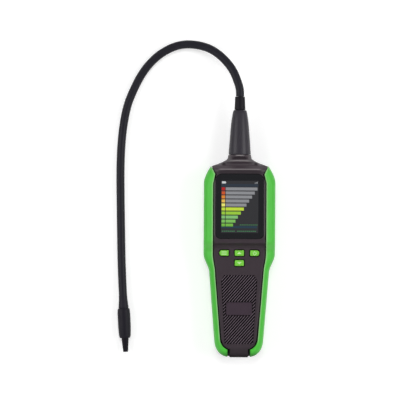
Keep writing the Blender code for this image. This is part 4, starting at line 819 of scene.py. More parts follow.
core_stations = np.concatenate([BODY_STATIONS, SHOULDER_END + np.array([0.0008, 0.0016, 0.0024])])
cover = lofted("front_case", *case_grid(core_stations, CORE_INSET))


def panel_half(s):
    """Half the front panel's width: the tongue, the heel and then a gap inside the bumpers' edge."""
    heel = front_edge(np.maximum(s - PANEL_GAP, HEEL_START)) - PANEL_GAP
    above = front_edge(s) - PANEL_GAP
    half = np.where(s < 0.0188, np.minimum(heel, above), above)
    return np.where(s < 0.0090, 0.0096, half)


chamfer_corner = np.array(  # in from the edge, down from the top
    [
        (0.0, 0.0016), (0.0, 0.00135), (0.00004, 0.00112), (0.00016, 0.00091), (0.00034, 0.00073),
        (0.00075, 0.00043), (0.00105, 0.00022), (0.00135, 0.00009), (0.0017, 0.00002), (0.0021, 0.0),
    ]
)
panel_stations = np.unique(
    np.concatenate(
        [
            np.linspace(0.0, 0.0086, 16), [0.0089, 0.0092], np.linspace(0.0095, 0.0190, 24),
            np.arange(0.020, 0.114, 0.002), np.arange(0.1145, 0.1215, 0.00025),
            np.arange(0.122, 0.182, 0.0015), np.arange(0.182, 0.2001, 0.00035), [SHOULDER_END],
        ]
    )
)
half, fall = panel_half(panel_stations), np.zeros(len(panel_stations))
panel_stations = np.append(panel_stations, SHOULDER_END + PANEL_GAP)
half = np.append(half, TIP_HALF - 4 * PANEL_GAP)
fall = np.append(fall, FIT)


def crease_height(s):
    """The panel's height with the foot and the brow of its slope eased over a millimetre."""
    nudge = np.linspace(-0.0005, 0.0005, 9)
    return panel_top(np.maximum(s[:, None] + nudge, 0.0)).mean(axis=1)


stepped = (panel_stations > CREASE_START - 0.001) & (panel_stations < CREASE_END + 0.001)
high = np.where(stepped, crease_height(panel_stations), panel_top(panel_stations)) - fall
tops = np.linspace(1.0, -1.0, 33)[1:-1]
right_x = half[:, None] - chamfer_corner[:, 0]
right_z = high[:, None] - chamfer_corner[:, 1]
middle_x = (half - chamfer_corner[-1, 0])[:, None] * tops
middle_z = np.repeat(high[:, None], len(tops), axis=1)
base = np.full((len(half), 1), PARTING - PANEL_GAP)
panel_x = np.hstack([half[:, None], right_x, middle_x, -right_x[:, ::-1], -half[:, None]])
panel_z = np.hstack([base, right_z, middle_z, right_z[:, ::-1], base])
panel = lofted("panel", panel_x, panel_stations[:, None], panel_z)


def collar_bow(x):
    """How far the lines at the collar's foot have bowed down at x."""
    return 0.0009 * (x / 0.0172) ** 2


def neck_relief(x, s):
    """Depth of the bowed lines across the shoulder: a groove, deeper at its ends, and a brow above it."""
    bow = collar_bow(x)
    reach = np.clip(1 - (np.abs(x) / 0.0195) ** 8, 0.0, 1.0)
    pits = 0.0010 * np.exp(-(((np.abs(x) - 0.0170) / 0.0014) ** 2))
    groove = (0.0005 + pits) * np.exp(-(((s - 0.2036 + bow) / 0.0008) ** 2))
    brow = 0.00035 * np.exp(-(((s - 0.2061 + bow) / 0.0006) ** 2))
    return reach * (groove - brow)


neck_x, neck_s, neck_z = case_grid(NECK_STATIONS, 0.0005, 24)
neck_z = neck_z - np.where(neck_z > NECK_AXIS, neck_relief(neck_x, neck_s), 0.0)
shoulder = lofted("shoulder", neck_x, neck_s, neck_z)


def case_cavity():
    """The space inside both covers: rounded sections within the walls, the panel and the floor."""
    widening = np.linspace(FLARE_START, FLARE_END, 5)
    s = np.unique(
        np.concatenate([END_STATIONS[::2], widening, [CREASE_START, CREASE_END, 0.183, NOTCH_END, 0.195]])
    )
    half = half_width(s) - CORE_INSET - WALL
    high = panel_top(s) - 0.0038
    low = case_bottom(s) + 0.0043
    walls = (np.full(len(s), WALL), np.full(len(s), WALL))
    x, z = rounded_sections(half, low, high, (strip(s), np.full(len(s), 0.011)), walls, 4)
    y = s + (CORE_INSET + WALL) * np.maximum(1 - s / END_LENGTH, 0.0)
    return lofted("cavity", x, y[:, None], z)


SCREW_ROWS = ((0.0130, 0.1905), (0.0150, 0.1000))  # in from the case's side, station
SCREW_PLACES = [
    (side * (half_width(np.array(row)).item() - inset), row) for inset, row in SCREW_ROWS for side in (1, -1)
]
bosses = [(x, y, 0.003, FRONT_PARTING, panel_top(np.array(y)).item() - 0.0019) for x, y in SCREW_PLACES]
pilots = [(x, y, 0.0016, PARTING - FIT, 0.0263) for x, y in SCREW_PLACES]


def neck_bore():
    """The round passage through the collar, as wide as the sleeve's root and a little more."""
    profile = np.array([(0.1947, 0.0), (0.1947, 0.0099), (0.2123, 0.0099), (0.2123, 0.0)])
    return lathe("bore", None, profile, neck_start, (0, 1, 0), closed=False)


KEYS = (  # name, x, station, width, depth, left side round, right side round
    ("left", -0.016, 0.1093, 0.0094, 0.0057, True, False),
    ("centre", 0.0, 0.1093, 0.0094, 0.0057, False, False),
    ("right", 0.016, 0.1093, 0.0094, 0.0057, False, True),
    ("lower", 0.0, 0.0989, 0.0094, 0.0059, False, False),
)


def key_outline(key, grow):
    """A key's outline: a rectangle with small corners, or a half circle on a round side."""
    _, x, y, width, depth, round_left, round_right = key
    reach = depth / 2 + grow
    corner = max(0.0009 + grow, 0.0004)
    left, right = (reach - FIT if is_round else corner for is_round in (round_left, round_right))
    radii = (right, left, left, right)
    return rounded_outline(x - width / 2 - grow, x + width / 2 + grow, y - reach, y + reach, radii)


def lens_outline(grow):
    """The lens seen from the front, grown on all sides."""
    radii = (0.007 + grow, 0.007 + grow, 0.0055 + grow, 0.0055 + grow)
    return rounded_outline(-0.0252 - grow, 0.0252 + grow, 0.1244 - grow, 0.1918 + grow, radii)


def merged(name, parts):
    """One object out of several whose solids keep clear of each other."""
    work = bmesh.new()
    for part in parts:
        work.from_mesh(part.data)
        bpy.data.objects.remove(part)
    mesh = bpy.data.meshes.new(name)
    work.to_mesh(mesh)
    work.free()
    return add_object(name, mesh)


BEYOND, ABOVE_ALL = 0.09, 0.06  # how far cutting tools reach past the case, across and up
growth, levels = rim_levels(HANDLE_PANEL - 0.0008, HANDLE_PANEL, 0.00030)
wells = [prism("well", [key_outline(key, 0.0010 + g) for g in growth], levels) for key in KEYS]
growth, levels = rim_levels(0.0382, HEAD_PANEL, 0.00022)
wells.append(prism("seat", [lens_outline(FIT + g) for g in growth], levels))
openings = [prism("opening", [key_outline(key, 0.00035)] * 2, (0.0284, ABOVE_ALL)) for key in KEYS]
window = rounded_outline(-0.0205, 0.0205, 0.1288, 0.1866, (0.0009,) * 4, 3)
openings.append(prism("window", [window] * 2, (0.0348, ABOVE_ALL)))

GRIP_START, GRIP_END, GRIP_DEPTH = 0.0143, 0.0862, 0.0013
GRIP_SIDE = ((0.0148, GRIP_START), (0.0188, GRIP_END - 0.0055), (0.0155, GRIP_END))
GRIP_FIELD = np.array([*GRIP_SIDE, *((-x, y) for x, y in GRIP_SIDE[::-1])])
grip_pocket = prism("pocket", [GRIP_FIELD] * 2, (HANDLE_PANEL - GRIP_DEPTH, ABOVE_ALL))
scoop_turn = angles_round(40)
scoop_rings = [
    np.stack([0.0078 * grow * np.cos(scoop_turn), 0.2086 + 0.0015 * grow * np.sin(scoop_turn)], axis=-1)
    for grow in (0.70, 0.86, 0.95, 1.0, 1.12)
]
scoop = prism("scoop", scoop_rings, (0.0310, 0.0312, 0.0316, 0.0322, 0.05))

combine(
    cover,
    ("UNION", panel),
    ("UNION", shoulder),
    ("DIFFERENCE", boxes("below", [((-BEYOND, -0.02, -0.05), (BEYOND, 0.3, FRONT_PARTING))])),
    ("DIFFERENCE", case_cavity()),
    ("UNION", rods("bosses", bosses)),
    ("DIFFERENCE", merged("pilots", [rods("pilot", pilots, 24), neck_bore()])),
    ("DIFFERENCE", merged("wells", wells + [grip_pocket])),
    ("DIFFERENCE", merged("openings", openings)),
    ("DIFFERENCE", scoop),
)


def bell(value, middle, width):
    """A bell curve of height one: e to the minus ((value - middle) / width)^2."""
    return np.exp(-(((value - middle) / width) ** 2))


def cover_painted_shading(x, s, z):
    """Painted highlights on the crest, the brow and lip at the collar, the foot of the slope and the lens's
    sides, the shoulder painted paler, and painted shade below the crest, in the groove, pits and crescent at
    the collar, and over the tongue.
    """
    across = np.abs(x)
    bow = collar_bow(x)
    tongue_dark = 0.32 + 0.62 * (1 - soft_ramp(s, 0.0, 0.0060))
    below_crest = ramp(s, 0.1914, 0.1924) * (1 - soft_ramp(s, 0.1950, 0.1962))
    light_and_shade = 0.68 * bell(s, 0.1967, 0.00055) * (1 - soft_ramp(across, 0.0190, 0.0235))
    light_and_shade += 0.17 * ramp(across, 0.0165, 0.0190) * ramp(s, 0.1938, 0.1950) * (1 - ramp(s, 0.1958, 0.1970))
    light_and_shade += 0.13 * ramp(across, 0.0030, 0.0150) * ramp(s, 0.1968, 0.1980) * (1 - ramp(s, 0.2062, 0.2070))
    light_and_shade += 0.15 * ramp(across, 0.0252, 0.0256) * ramp(s, 0.1260, 0.1300) * (1 - ramp(s, 0.1900, 0.1950))
    light_and_shade += 0.30 * ramp(across, 0.0060, 0.0120) * ramp(s, 0.2064, 0.2072)
    light_and_shade += 0.75 * bell(s + bow, 0.2058, 0.00080) * (1 - soft_ramp(across, 0.0060, 0.0150))
    light_and_shade += 0.95 * bell(s, 0.2114, 0.00060) * (1 - soft_ramp(across, 0.0020, 0.0060))
    light_and_shade += 0.40 * bell(s, CREASE_START - 0.0002, 0.0006) * (1 - soft_ramp(across, 0.0150, 0.0190))
    light_and_shade -= 0.35 * below_crest * (1 - soft_ramp(across, 0.0200, 0.0230))
    light_and_shade -= 1.50 * bell(across, 0.0169, 0.0014) * bell(s, 0.2022, 0.0011)
    light_and_shade -= 0.30 * bell(s + bow, 0.2040, 0.0010) * (1 - soft_ramp(across, 0.0120, 0.0180))
    light_and_shade -= 0.60 * bell(s, 0.2087, 0.0010) * (1 - soft_ramp(across, 0.0060, 0.0090))
    light_and_shade -= tongue_dark * (1 - soft_ramp(s, 0.0080, 0.0120)) * (across < 0.0100)
    return light_and_shade * soft_ramp(z, 0.0180, 0.0260)


case_finish = moulded_material(
    "case_plastic", (58, 49, 55), 0.50, grain=2800.0, handling=0.10, depth=0.00004, specular=0.25
)
# Painted light and shade on the front cover: a pale highlight colour and a near-black shade colour.
with_painted_shading(case_finish, (150, 145, 146), (14, 10, 13))
set_painted_shading(cover.data, cover_painted_shading)
# Painted shade: a near-black finish on the faces in the gaps beside the panel, on the grip's sunk floor, in
# the key wells and on the seat under the lens.
shade_finish = moulded_material("painted_groove_shade", (9, 6, 9), 0.70, grain=2400.0, handling=0.10, specular=0.12)
cover.data.materials.clear()
cover.data.materials.append(case_finish)
cover.data.materials.append(shade_finish)
centre = np.empty(len(cover.data.polygons) * 3, np.float32)
cover.data.polygons.foreach_get("center", centre)
x, s, z = (centre.reshape(-1, 3) + (0.0, MIDDLE, 0.0)).T
beside = (np.abs(x) > panel_half(s) - 0.00005) & (s < SHOULDER_END + 0.0003) & (z > PARTING + 0.0002)
sunk = (z > 0.0325) & (z < HANDLE_PANEL - 0.0005) & (np.abs(x) < 0.0200) & (s > GRIP_START) & (s < GRIP_END)
under_lens = (np.abs(x) < 0.0256) & (s > 0.1240) & (s < 0.1922) & (z > 0.0345) & (z < 0.0401)
in_wells = (z > 0.0305) & (z < HANDLE_PANEL - 0.0002) & (np.abs(x) < 0.0220) & (s > 0.0940) & (s < 0.1140)
cover.data.polygons.foreach_set("material_index", (beside | sunk | in_wells | under_lens).astype(np.int32))
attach(cover, "handset")
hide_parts("front_cover")

# Grip: slanting soft ribs in a sunk field on the handle, and a plain plate with
# a raised rim in their midst. Ribs and plate are moulded onto the cover.
RIB_ANGLE = math.radians(48.4)
RIB_PITCH = 0.00226
RIB_HALF = 0.00043
PLATE_HALF, PLATE_LENGTH, PLATE_MIDDLE, PLATE_CORNER = 0.0136, 0.0135, 0.0512, 0.0018


def inside_span(outline, origin, direction):
    """How far along it a line enters and leaves a convex outline.

    That is the largest entering and the smallest leaving crossing of the outline's edges.
    """
    edge = np.roll(outline, -1, axis=0) - outline
    normal = np.stack([edge[:, 1], -edge[:, 0]], axis=-1)
    normal *= np.sign((normal * (outline - outline.mean(axis=0))).sum(axis=1, keepdims=True))
    speed = normal @ direction
    reach = ((outline - origin) * normal).sum(axis=1) / np.where(np.abs(speed) < 1e-12, 1e-12, speed)
    return reach[speed < 0].max(), reach[speed > 0].min()


def plate_ring(grow, steps=8):
    """The plate seen from the front, grown on all sides."""
    radius = max(PLATE_CORNER + grow, 0.0003)
    near, far = PLATE_MIDDLE - PLATE_LENGTH / 2 - grow, PLATE_MIDDLE + PLATE_LENGTH / 2 + grow
    return rounded_outline(-PLATE_HALF - grow, PLATE_HALF + grow, near, far, (radius,) * 4, steps)


rib_along = np.array([math.cos(RIB_ANGLE), math.sin(RIB_ANGLE)])
rib_across = np.array([-rib_along[1], rib_along[0]])
rib_field = GRIP_FIELD * (0.985, 1.0)
plate_box = plate_ring(0.0, 3)
grip_middle = np.array([0.0, (GRIP_START + GRIP_END) / 2])
spans = []
for k in range(-30, 31):
    origin = grip_middle + rib_across * k * RIB_PITCH
    start, end = inside_span(rib_field, origin, rib_along)
    if end - start < 0.0015:
        continue
    first, last = inside_span(plate_box, origin, rib_along)
    if first < last:
        spans += [(origin, start, first - 0.0006), (origin, last + 0.0006, end)]
    else:
        spans.append((origin, start, end))
spans = [(origin, start, end) for origin, start, end in spans if end - start > 0.0009]
rib_angle = np.linspace(0.0, np.pi, 7)
rib_low, rib_high = HANDLE_PANEL - GRIP_DEPTH - 0.0002, HANDLE_PANEL - 0.00005
rib_side = np.concatenate([[1.15], np.cos(rib_angle), [-1.15]]) * RIB_HALF
rib_rise = np.concatenate([[0.0], 0.62 + 0.38 * np.sin(rib_angle), [0.0]]) * (rib_high - rib_low)
rib_share = np.array([0.0, 0.25, 0.6, 1.0])
thin = np.sqrt(rib_share * (2 - rib_share))
thin = np.maximum(np.concatenate([thin, thin[::-1]]), 0.25)
parts = []
for origin, start, end in spans:
    stop = np.concatenate([start + 0.0004 * rib_share, end - 0.0004 * rib_share[::-1]])
    spot = origin + rib_along * stop[:, None]
    x = spot[:, :1] + rib_across[0] * rib_side * thin[:, None]
    y = spot[:, 1:] + rib_across[1] * rib_side * thin[:, None]
    z = rib_low + rib_rise * (0.45 + 0.55 * thin[:, None])
    parts.append(lofted("rib", x, y, z))
ribs = merged("grip_ribs", parts)
ribs.data.shade_smooth()
ribs.data.set_sharp_from_angle(angle=math.radians(50.0))
rib_finish = moulded_material("rib_rubber", (108, 95, 105), 0.42, grain=2200.0, handling=0.12, specular=0.25)
# Painted shade: the ribs' flanks are painted darker down toward the floor of the sunk field.
with_painted_shading(rib_finish, (130, 118, 128), (30, 24, 28))
set_painted_shading(ribs.data, lambda x, s, z: soft_ramp(z, HANDLE_PANEL - 0.0006, HANDLE_PANEL - 0.0001) - 1.0)
ribs.data.materials.append(rib_finish)
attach(ribs, "handset")


rim = np.array(  # growth, and height over the panel
    [
        (0.0, -0.0010), (0.0, -0.00020), (-0.00006, -0.00008), (-0.00018, 0.0), (-0.00034, 0.0),
        (-0.00046, -0.00008), (-0.00052, -0.00020), (-0.00058, -0.00026), (-0.0009, -0.00028),
        (-0.006, -0.00028),
    ]
)
badge = prism("badge_plate", [plate_ring(grow) for grow, _ in rim], HANDLE_PANEL + rim[:, 1])
badge_finish = moulded_material(
    "badge_plastic", (62, 50, 60), 0.38, grain=3200.0, handling=0.10, specular=0.25
)
badge.data.materials.append(badge_finish)
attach(badge, "handset")

# Bumpers: two soft green mouldings, pressed over the case's sides. Each wraps from
# the front panel round to the back, with a rounded inner edge and a shallow hollow
# along its front. The right one mirrors the left.
LIP = 0.00075
HOLLOW = 0.00045


def bumper_grid(s, steps=28):
    """The case's outline with a shallow trough, a bell curve across the strip that fades at its ends."""
    x, y, z = case_grid(s, 0.0, steps)
    share = (np.abs(x) - front_edge(np.minimum(s, 0.19))[:, None]) / strip(s)[:, None]
    fade = soft_ramp(y, 0.015, 0.035) * (1 - soft_ramp(y, 0.178, 0.192))
    trough = HOLLOW * fade * bell(share, 0.42, 0.20) * (z > NECK_AXIS + 0.004)
    return x, y, z - trough


def edge_cut(name, stations, lip_x, lip_z):
    """A cutting tool from a bumper's lip across the middle and out past the other side."""
    x = np.hstack([lip_x, np.full((len(lip_x), 2), BEYOND)])
    return lofted(name, x, stations[:, None], np.hstack([lip_z, lip_z[:, -1:], lip_z[:, :1]]))


bumper = lofted("left_guard", *bumper_grid(np.concatenate([BODY_STATIONS, [SHOULDER_END + 0.0008]])))
inside = lofted("inside", *case_grid(core_stations, BUMPER_DEPTH))
edge_stations = np.unique(
    np.concatenate(
        [
            [-0.017, 0.0, 0.0080], np.linspace(HEEL_START, 0.0100, 14), np.linspace(0.0105, HEEL_END, 14),
            np.arange(0.020, 0.086, 0.004), np.arange(0.087, 0.123, 0.0005), np.arange(0.125, 0.180, 0.003),
            np.arange(NOTCH_START, 0.2, 0.001), [NOTCH_END, SHOULDER_END],
        ]
    )
)
edge_half = front_edge(edge_stations)
lean = np.clip(np.sqrt(1 + np.gradient(edge_half, edge_stations) ** 2), 1.0, 2.5)
lip_angle = np.linspace(0.0, np.pi / 2, 6)
flare_out = np.concatenate([[0.0], LIP * (1 - np.cos(lip_angle)), [LIP * 1.6]])
rise = np.concatenate([[-1.0], -LIP + LIP * np.sin(lip_angle), [0.004]])
lip_z = case_top(np.maximum(edge_stations, 0.0))[:, None] + rise
lip_z[:, 0] = FRONT_PARTING
lip_x = -(edge_half[:, None] + flare_out * lean[:, None])
front_cut = edge_cut("front_cut", edge_stations, lip_x, lip_z)
rear_stations = np.unique(
    np.concatenate(
        [[-0.017, 0.05], np.arange(0.087, 0.109, 0.001), [0.15, NOTCH_START, NOTCH_END, SHOULDER_END]]
    )
)
rear_half = rear_edge(rear_stations)
lip_z = np.array([REAR_PARTING, LIP, LIP * 0.62, LIP * 0.30, LIP * 0.08, 0.0, -0.004])
lip_x = -(rear_half[:, None] + LIP * np.array([0.0, 0.0, 0.08, 0.30, 0.62, 1.0, 1.6]))
rear_cut = edge_cut("rear_cut", rear_stations, lip_x, np.broadcast_to(lip_z, lip_x.shape))
combine(
    bumper,
    ("DIFFERENCE", inside),
    ("DIFFERENCE", front_cut),
    ("DIFFERENCE", rear_cut),
    ("DIFFERENCE", boxes("beyond", [((-BEYOND, SHOULDER_END, -0.05), (BEYOND, 0.3, 0.09))])),
)
bumper_finish = moulded_material(
    "bumper_rubber", (81, 197, 66), 0.42, grain=2000.0, handling=0.04, depth=0.00002, specular=0.25
)
# Painted light and shade on the bumpers: a pale highlight green and a dark shade green.
with_painted_shading(bumper_finish, (150, 208, 136), (48, 122, 40))


def bumper_painted_shading(x, s, z):
    """A painted highlight on the inner lip and on the step's brow, and painted shade on the lower rim."""
    lip = (1 - ramp(np.abs(x) - front_edge(s), 0.0003, 0.0016)) * (z > NECK_AXIS)
    side = half_width(s)
    brow = 0.25 * bell(s, CREASE_START, 0.0045) * (1 - soft_ramp(np.abs(x), side - 0.0050, side - 0.0015))
    return (lip + brow) * soft_ramp(s, 0.012, 0.022) - 0.85 * (1 - soft_ramp(s, 0.0, 0.0085))


bumper.data.materials.clear()
bumper.data.materials.append(bumper_finish)
set_painted_shading(bumper.data, bumper_painted_shading)
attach(bumper, "handset")
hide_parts("left_bumper")
mirrored = bumper.data.copy()
work = bmesh.new()
work.from_mesh(mirrored)
bmesh.ops.scale(work, vec=(-1.0, 1.0, 1.0), verts=work.verts)
bmesh.ops.reverse_faces(work, faces=work.faces)
work.to_mesh(mirrored)
work.free()
right_bumper = add_object("right_guard", mirrored)
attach(right_bumper, "handset")
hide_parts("right_bumper")

# Screen: a black glossy lens with rounded edges let into the head, and the lit face
# of the display, whose bars and squares share a scale from red to green.
LENS_LOW, LENS_TOP = 0.0385, 0.0403
LENS_EASE = 0.0003
lens_angle = np.linspace(0.0, np.pi / 2, 6)
lens_rings = [lens_outline(grow) for grow in (0.0, *(LENS_EASE * (np.cos(lens_angle) - 1)), -0.0009)]
lens_levels = [LENS_LOW] + [LENS_TOP - LENS_EASE + LENS_EASE * math.sin(a) for a in lens_angle] + [LENS_TOP]
lens = prism("screen_lens", lens_rings, lens_levels)
lens_finish = moulded_material(
    "lens_gloss", (22, 23, 27), 0.16, grain=300.0, relief=0.2, handling=0.03, depth=0.000004, specular=0.4
)
lens.data.materials.append(lens_finish)
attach(lens, "handset")
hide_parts("display_window")

FACE_LEVEL = LENS_TOP + 0.00002
SCREEN_GREY = (56, 56, 59)
BAR_LEFT, BAR_TOP_ROW, BAR_PITCH, BAR_HALF = -0.0146, 0.1762, 0.00419, 0.00157
BAR_ENDS = (0.0184, 0.0156, 0.0128, 0.0097, 0.0070, 0.0043, 0.0012, -0.0019, -0.0044, -0.0069)
SCALE_ROWS = (0, 2, 4, 5, 6, 7, 9)
SCALE_COLOURS = (  # at those rows, from red through orange and yellow to green
    (196, 40, 40), (244, 146, 54), (255, 252, 124), (211, 239, 68), (166, 219, 68), (142, 209, 124),
    (128, 201, 76),
)
UNLIT_GREY = (154, 155, 159)
LIT_FROM = 5  # the first row whose bar is lit
BATTERY_WHITE = (222, 226, 228)
SMALL_MARKS_FROM = 3 + 2 * len(BAR_ENDS)  # the face, two bands, the squares and the bars come first


def scale_colour(row):
    """The colour of a row's square and lit bar: straight between the scale's stops in each channel."""
    return tuple(float(np.interp(row, SCALE_ROWS, channel)) for channel in zip(*SCALE_COLOURS))


def screen_marks():
    """Every mark as (left, right, low, high, colour): metres from the middle line and from the lower end."""
    marks = [(-0.0193, 0.0194, 0.1304, 0.1847, SCREEN_GREY)]
    marks.append((-0.0193, 0.0192, 0.1785, 0.1814, (52, 61, 73)))
    marks.append((-0.0193, 0.0181, 0.1353, 0.1377, (46, 68, 83)))
    for row, end in enumerate(BAR_ENDS):
        middle = BAR_TOP_ROW - row * BAR_PITCH
        colour = scale_colour(row)
        marks.append((-0.01885, -0.0153, middle - BAR_HALF, middle + BAR_HALF, colour))
        bar = colour if row >= LIT_FROM else UNLIT_GREY
        marks.append((BAR_LEFT, end, middle - BAR_HALF, middle + BAR_HALF, bar))
    marks += [(0.0002 + 0.0019 * k, 0.0017 + 0.0019 * k, 0.1384, 0.1391, (76, 140, 92)) for k in range(10)]
    for k in range(18):
        if k != 7:
            marks.append((-0.0185 + 0.0020 * k, -0.0170 + 0.0020 * k, 0.1318, 0.1326, (80, 145, 98)))
    marks.append((-0.0186, -0.0147, 0.1818, 0.1840, BATTERY_WHITE))
    marks.append((-0.0147, -0.0143, 0.1824, 0.1834, BATTERY_WHITE))
    for k in range(3):
        left = 0.0155 + 0.0011 * k
        marks.append((left, 0.0162 + 0.0011 * k, 0.1819, 0.1826 + 0.0005 * k, (175, 178, 182)))
    return marks


marks = screen_marks()
corners = np.array([mark[:4] for mark in marks])
step = 0.00001 * np.arange(1, len(marks) + 1).clip(max=2)
step[SMALL_MARKS_FROM:] = 0.00003
x = corners[:, [0, 1, 1, 0]]
y = corners[:, [2, 2, 3, 3]] - MIDDLE
top_z = np.repeat((FACE_LEVEL + step)[:, None], 4, axis=1)
lower_z = np.full(x.shape, LENS_TOP - 0.0002)
points = np.stack([np.hstack([x, x]), np.hstack([y, y]), np.hstack([lower_z, top_z])], axis=-1).reshape(-1, 3)
screen_mesh = bpy.data.meshes.new("screen_face")
screen_mesh.from_pydata(points.tolist(), [], box_faces(len(marks)))
tint = screen_mesh.attributes.new("mark_colour", "FLOAT_COLOR", "CORNER")
shades = np.array([srgb(*mark[4]) for mark in marks])
tint.data.foreach_set("color", np.repeat(shades, 24, axis=0).astype(np.float32).ravel())
screen_finish = bpy.data.materials.new("screen_face")
screen_finish.use_nodes = True
nodes, links = screen_finish.node_tree.nodes, screen_finish.node_tree.links
shader = nodes["Principled BSDF"]
colour = nodes.new("ShaderNodeAttribute")
colour.attribute_name = "mark_colour"
place = nodes.new("ShaderNodeTexCoord").outputs["Object"]
pixels = nodes.new("ShaderNodeTexBrick")
pixels.offset = 0.0
for label, value in (("Scale", 3600.0), ("Mortar Size", 0.06), ("Brick Width", 1.0), ("Row Height", 1.0)):
    pixels.inputs[label].default_value = value
for label, value in (("Color1", 1.0), ("Color2", 0.96), ("Mortar", 0.80)):
    pixels.inputs[label].default_value = (value, value, value, 1.0)
links.new(place, pixels.inputs["Vector"])
lit = nodes.new("ShaderNodeMix")
lit.data_type = "RGBA"
lit.blend_type = "MULTIPLY"
lit.inputs["Factor"].default_value = 1.0
links.new(colour.outputs["Color"], lit.inputs[6])
links.new(pixels.outputs["Color"], lit.inputs[7])
dimmed = nodes.new("ShaderNodeVectorMath")
dimmed.operation = "SCALE"
dimmed.inputs["Scale"].default_value = 0.25
links.new(lit.outputs[2], dimmed.inputs[0])
links.new(dimmed.outputs[0], shader.inputs["Base Color"])
links.new(lit.outputs[2], shader.inputs["Emission Color"])
shader.inputs["Emission Strength"].default_value = 0.60
haze = math_node(
    screen_finish.node_tree, "MULTIPLY", noise_node(screen_finish.node_tree, place, 220.0), 0.10
)
links.new(math_node(screen_finish.node_tree, "ADD", haze, 0.16), shader.inputs["Roughness"])
shader.inputs["Specular IOR Level"].default_value = 0.3
screen = add_object("screen_face", screen_mesh, screen_finish)
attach(screen, "handset")

# Keys: four soft green caps in their wells, each held by a flange under the panel and
# standing over its switch. Their marks are plain signs, let into the tops.
KEY_TOP = HANDLE_PANEL + 0.0012
FLANGE_LOW, FLANGE_TOP = 0.0294, 0.0304
key_finish = moulded_material("key_rubber", (120, 206, 66), 0.40, grain=1800.0, handling=0.06, specular=0.3)
mark_finish = moulded_material("key_print", (196, 236, 168), 0.45, grain=1500.0, handling=0.06)
KEY_EASE = 0.0010
cap_angle = np.linspace(0.0, np.pi / 2, 7)
KEY_PROFILE = (
    [(0.0012, FLANGE_LOW), (0.0012, FLANGE_TOP), (0.0, FLANGE_TOP)]
    + [(KEY_EASE * 0.6 * (math.cos(a) - 1), KEY_TOP - 0.00055 + 0.00040 * math.sin(a)) for a in cap_angle]
    + [(-0.0014, KEY_TOP - 0.00006), (-0.0024, KEY_TOP)]
)


def key_marks(name, x, y):
    """Flat outlines: bars on the left key, arrows on the middle ones, a ring and a stroke on the right."""
    if name == "left":
        return [
            rounded_outline(x - 0.0027, x + 0.0027, y + d - 0.0003, y + d + 0.0003, (0.0002,) * 4, 2)
            for d in (-0.0014, 0.0, 0.0014)
        ]
    if name in ("centre", "lower"):
        way = 1.0 if name == "centre" else -1.0
        arrow = np.array([(-0.0024, -0.0010), (0.0024, -0.0010), (0.0, 0.0013)]) * (1.0, way)
        return [arrow + (x, y)]
    turn = np.linspace(math.radians(125), math.radians(415), 22)
    rays = np.stack([np.cos(turn), np.sin(turn)], axis=-1)
    ring = np.concatenate([rays * 0.0019, rays[::-1] * 0.0013])
    stroke = rounded_outline(x - 0.0003, x + 0.0003, y + 0.0003, y + 0.0022, (0.00015,) * 4, 2)
    return [ring + (x, y - 0.0002), stroke]


SIGN_LEVELS = (KEY_TOP - 0.0004, KEY_TOP + 0.00003)
for key in KEYS:
    name, x, y = key[:3]
    rings = [key_outline(key, grow) for grow, _ in KEY_PROFILE]
    cap = prism(name + "_cap", rings, [level for _, level in KEY_PROFILE])
    combine(cap, ("UNION", rods("stem", [(x, y, 0.0015, 0.0289, FLANGE_LOW + 0.0004)])))
    cap.data.materials.clear()
    cap.data.materials.append(key_finish)
    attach(cap, name + "_key")
    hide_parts(name + "_key")
    signs = [prism("sign", [outline] * 2, SIGN_LEVELS) for outline in key_marks(name, x, y)]
    print_piece = merged(name + "_sign", signs)
    print_piece.data.materials.append(mark_finish)
    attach(print_piece, name + "_key")

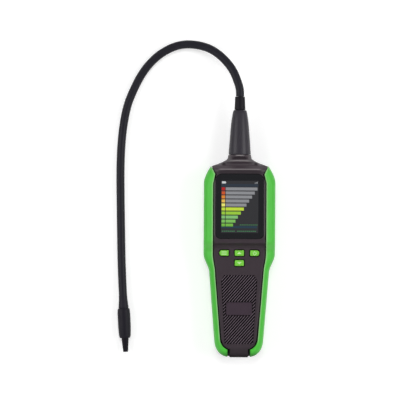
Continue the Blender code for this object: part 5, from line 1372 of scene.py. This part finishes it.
# Rear cover and battery door: the same dark plastic as the front. The door slides out
# of the lower end over the cells.
def rear_copy(name, node):
    """A copy of the CAD node's mesh with whole flat faces, kept flat by normals weighted by face area."""
    work = bmesh.new()
    work.from_mesh(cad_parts[node].data)
    bmesh.ops.remove_doubles(work, verts=work.verts, dist=1e-6)
    bmesh.ops.dissolve_limit(work, angle_limit=math.radians(0.3), verts=work.verts, edges=work.edges)
    mesh = bpy.data.meshes.new(name)
    work.to_mesh(mesh)
    work.free()
    mesh.shade_smooth()
    mesh.set_sharp_from_angle(angle=math.radians(35.0))
    piece = add_object(name, mesh, case_finish)
    even = piece.modifiers.new("even", "WEIGHTED_NORMAL")
    even.mode = "FACE_AREA"
    even.weight = 100
    even.keep_sharp = True
    return piece


rear = rear_copy("rear_case", "rear_cover")
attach(rear, "handset")
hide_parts("rear_cover")
door = rear_copy("cell_door", "battery_door")
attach(door, "battery_door")
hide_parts("battery_door")

# Inside: the display's module and carrier, board, switches, buzzer, pump and hose, the
# cells with their springs and contacts, the sensor and the screws keep their CAD
# solids and get their own finishes.
INNER_FINISHES = (
    (
        ("display_module",),
        moulded_material("module_glass", (40, 41, 44), 0.20, grain=600.0, relief=0.2, handling=0.04),
    ),
    (("display_carrier", "tip_filter"), moulded_material("pale_plastic", (202, 202, 199), 0.50)),
    (("main_board",), moulded_material("board_mask", (38, 108, 64), 0.38, grain=900.0, handling=0.12)),
    (
        ("left_switch", "centre_switch", "right_switch", "lower_switch", "buzzer", "sensor_socket"),
        moulded_material("switch_plastic", (38, 38, 40), 0.42),
    ),
    (("air_hose",), moulded_material("hose_rubber", (217, 217, 214), 0.30, grain=700.0, handling=0.05)),
    (
        ("left_cell", "right_cell"),
        moulded_material("cell_sleeve", (48, 97, 156), 0.32, grain=500.0, handling=0.08),
    ),
)
for names, finish in INNER_FINISHES:
    for name in names:
        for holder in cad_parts[name].material_slots:
            holder.material = finish


def plated_material(name, colour, roughness):
    """Bright plating: a metal whose fine grain is shallower than a moulding's."""
    material = moulded_material(name, colour, roughness, grain=1400.0, handling=0.08, depth=0.00001)
    material.node_tree.nodes["Principled BSDF"].inputs["Metallic"].default_value = 1.0
    return material


plated_steel = plated_material("plated_steel", (196, 196, 199), 0.28)
pump_case = plated_material("pump_case", (173, 173, 177), 0.36)
STEEL_NODES = (
    "left_spring", "right_spring", "bridge_plate", "left_terminal", "right_terminal", "sensor_element",
    "upper_left_screw", "upper_right_screw", "lower_left_screw", "lower_right_screw",
)
for name in STEEL_NODES + ("air_pump",):
    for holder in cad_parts[name].material_slots:
        holder.material = pump_case if name == "air_pump" else plated_steel
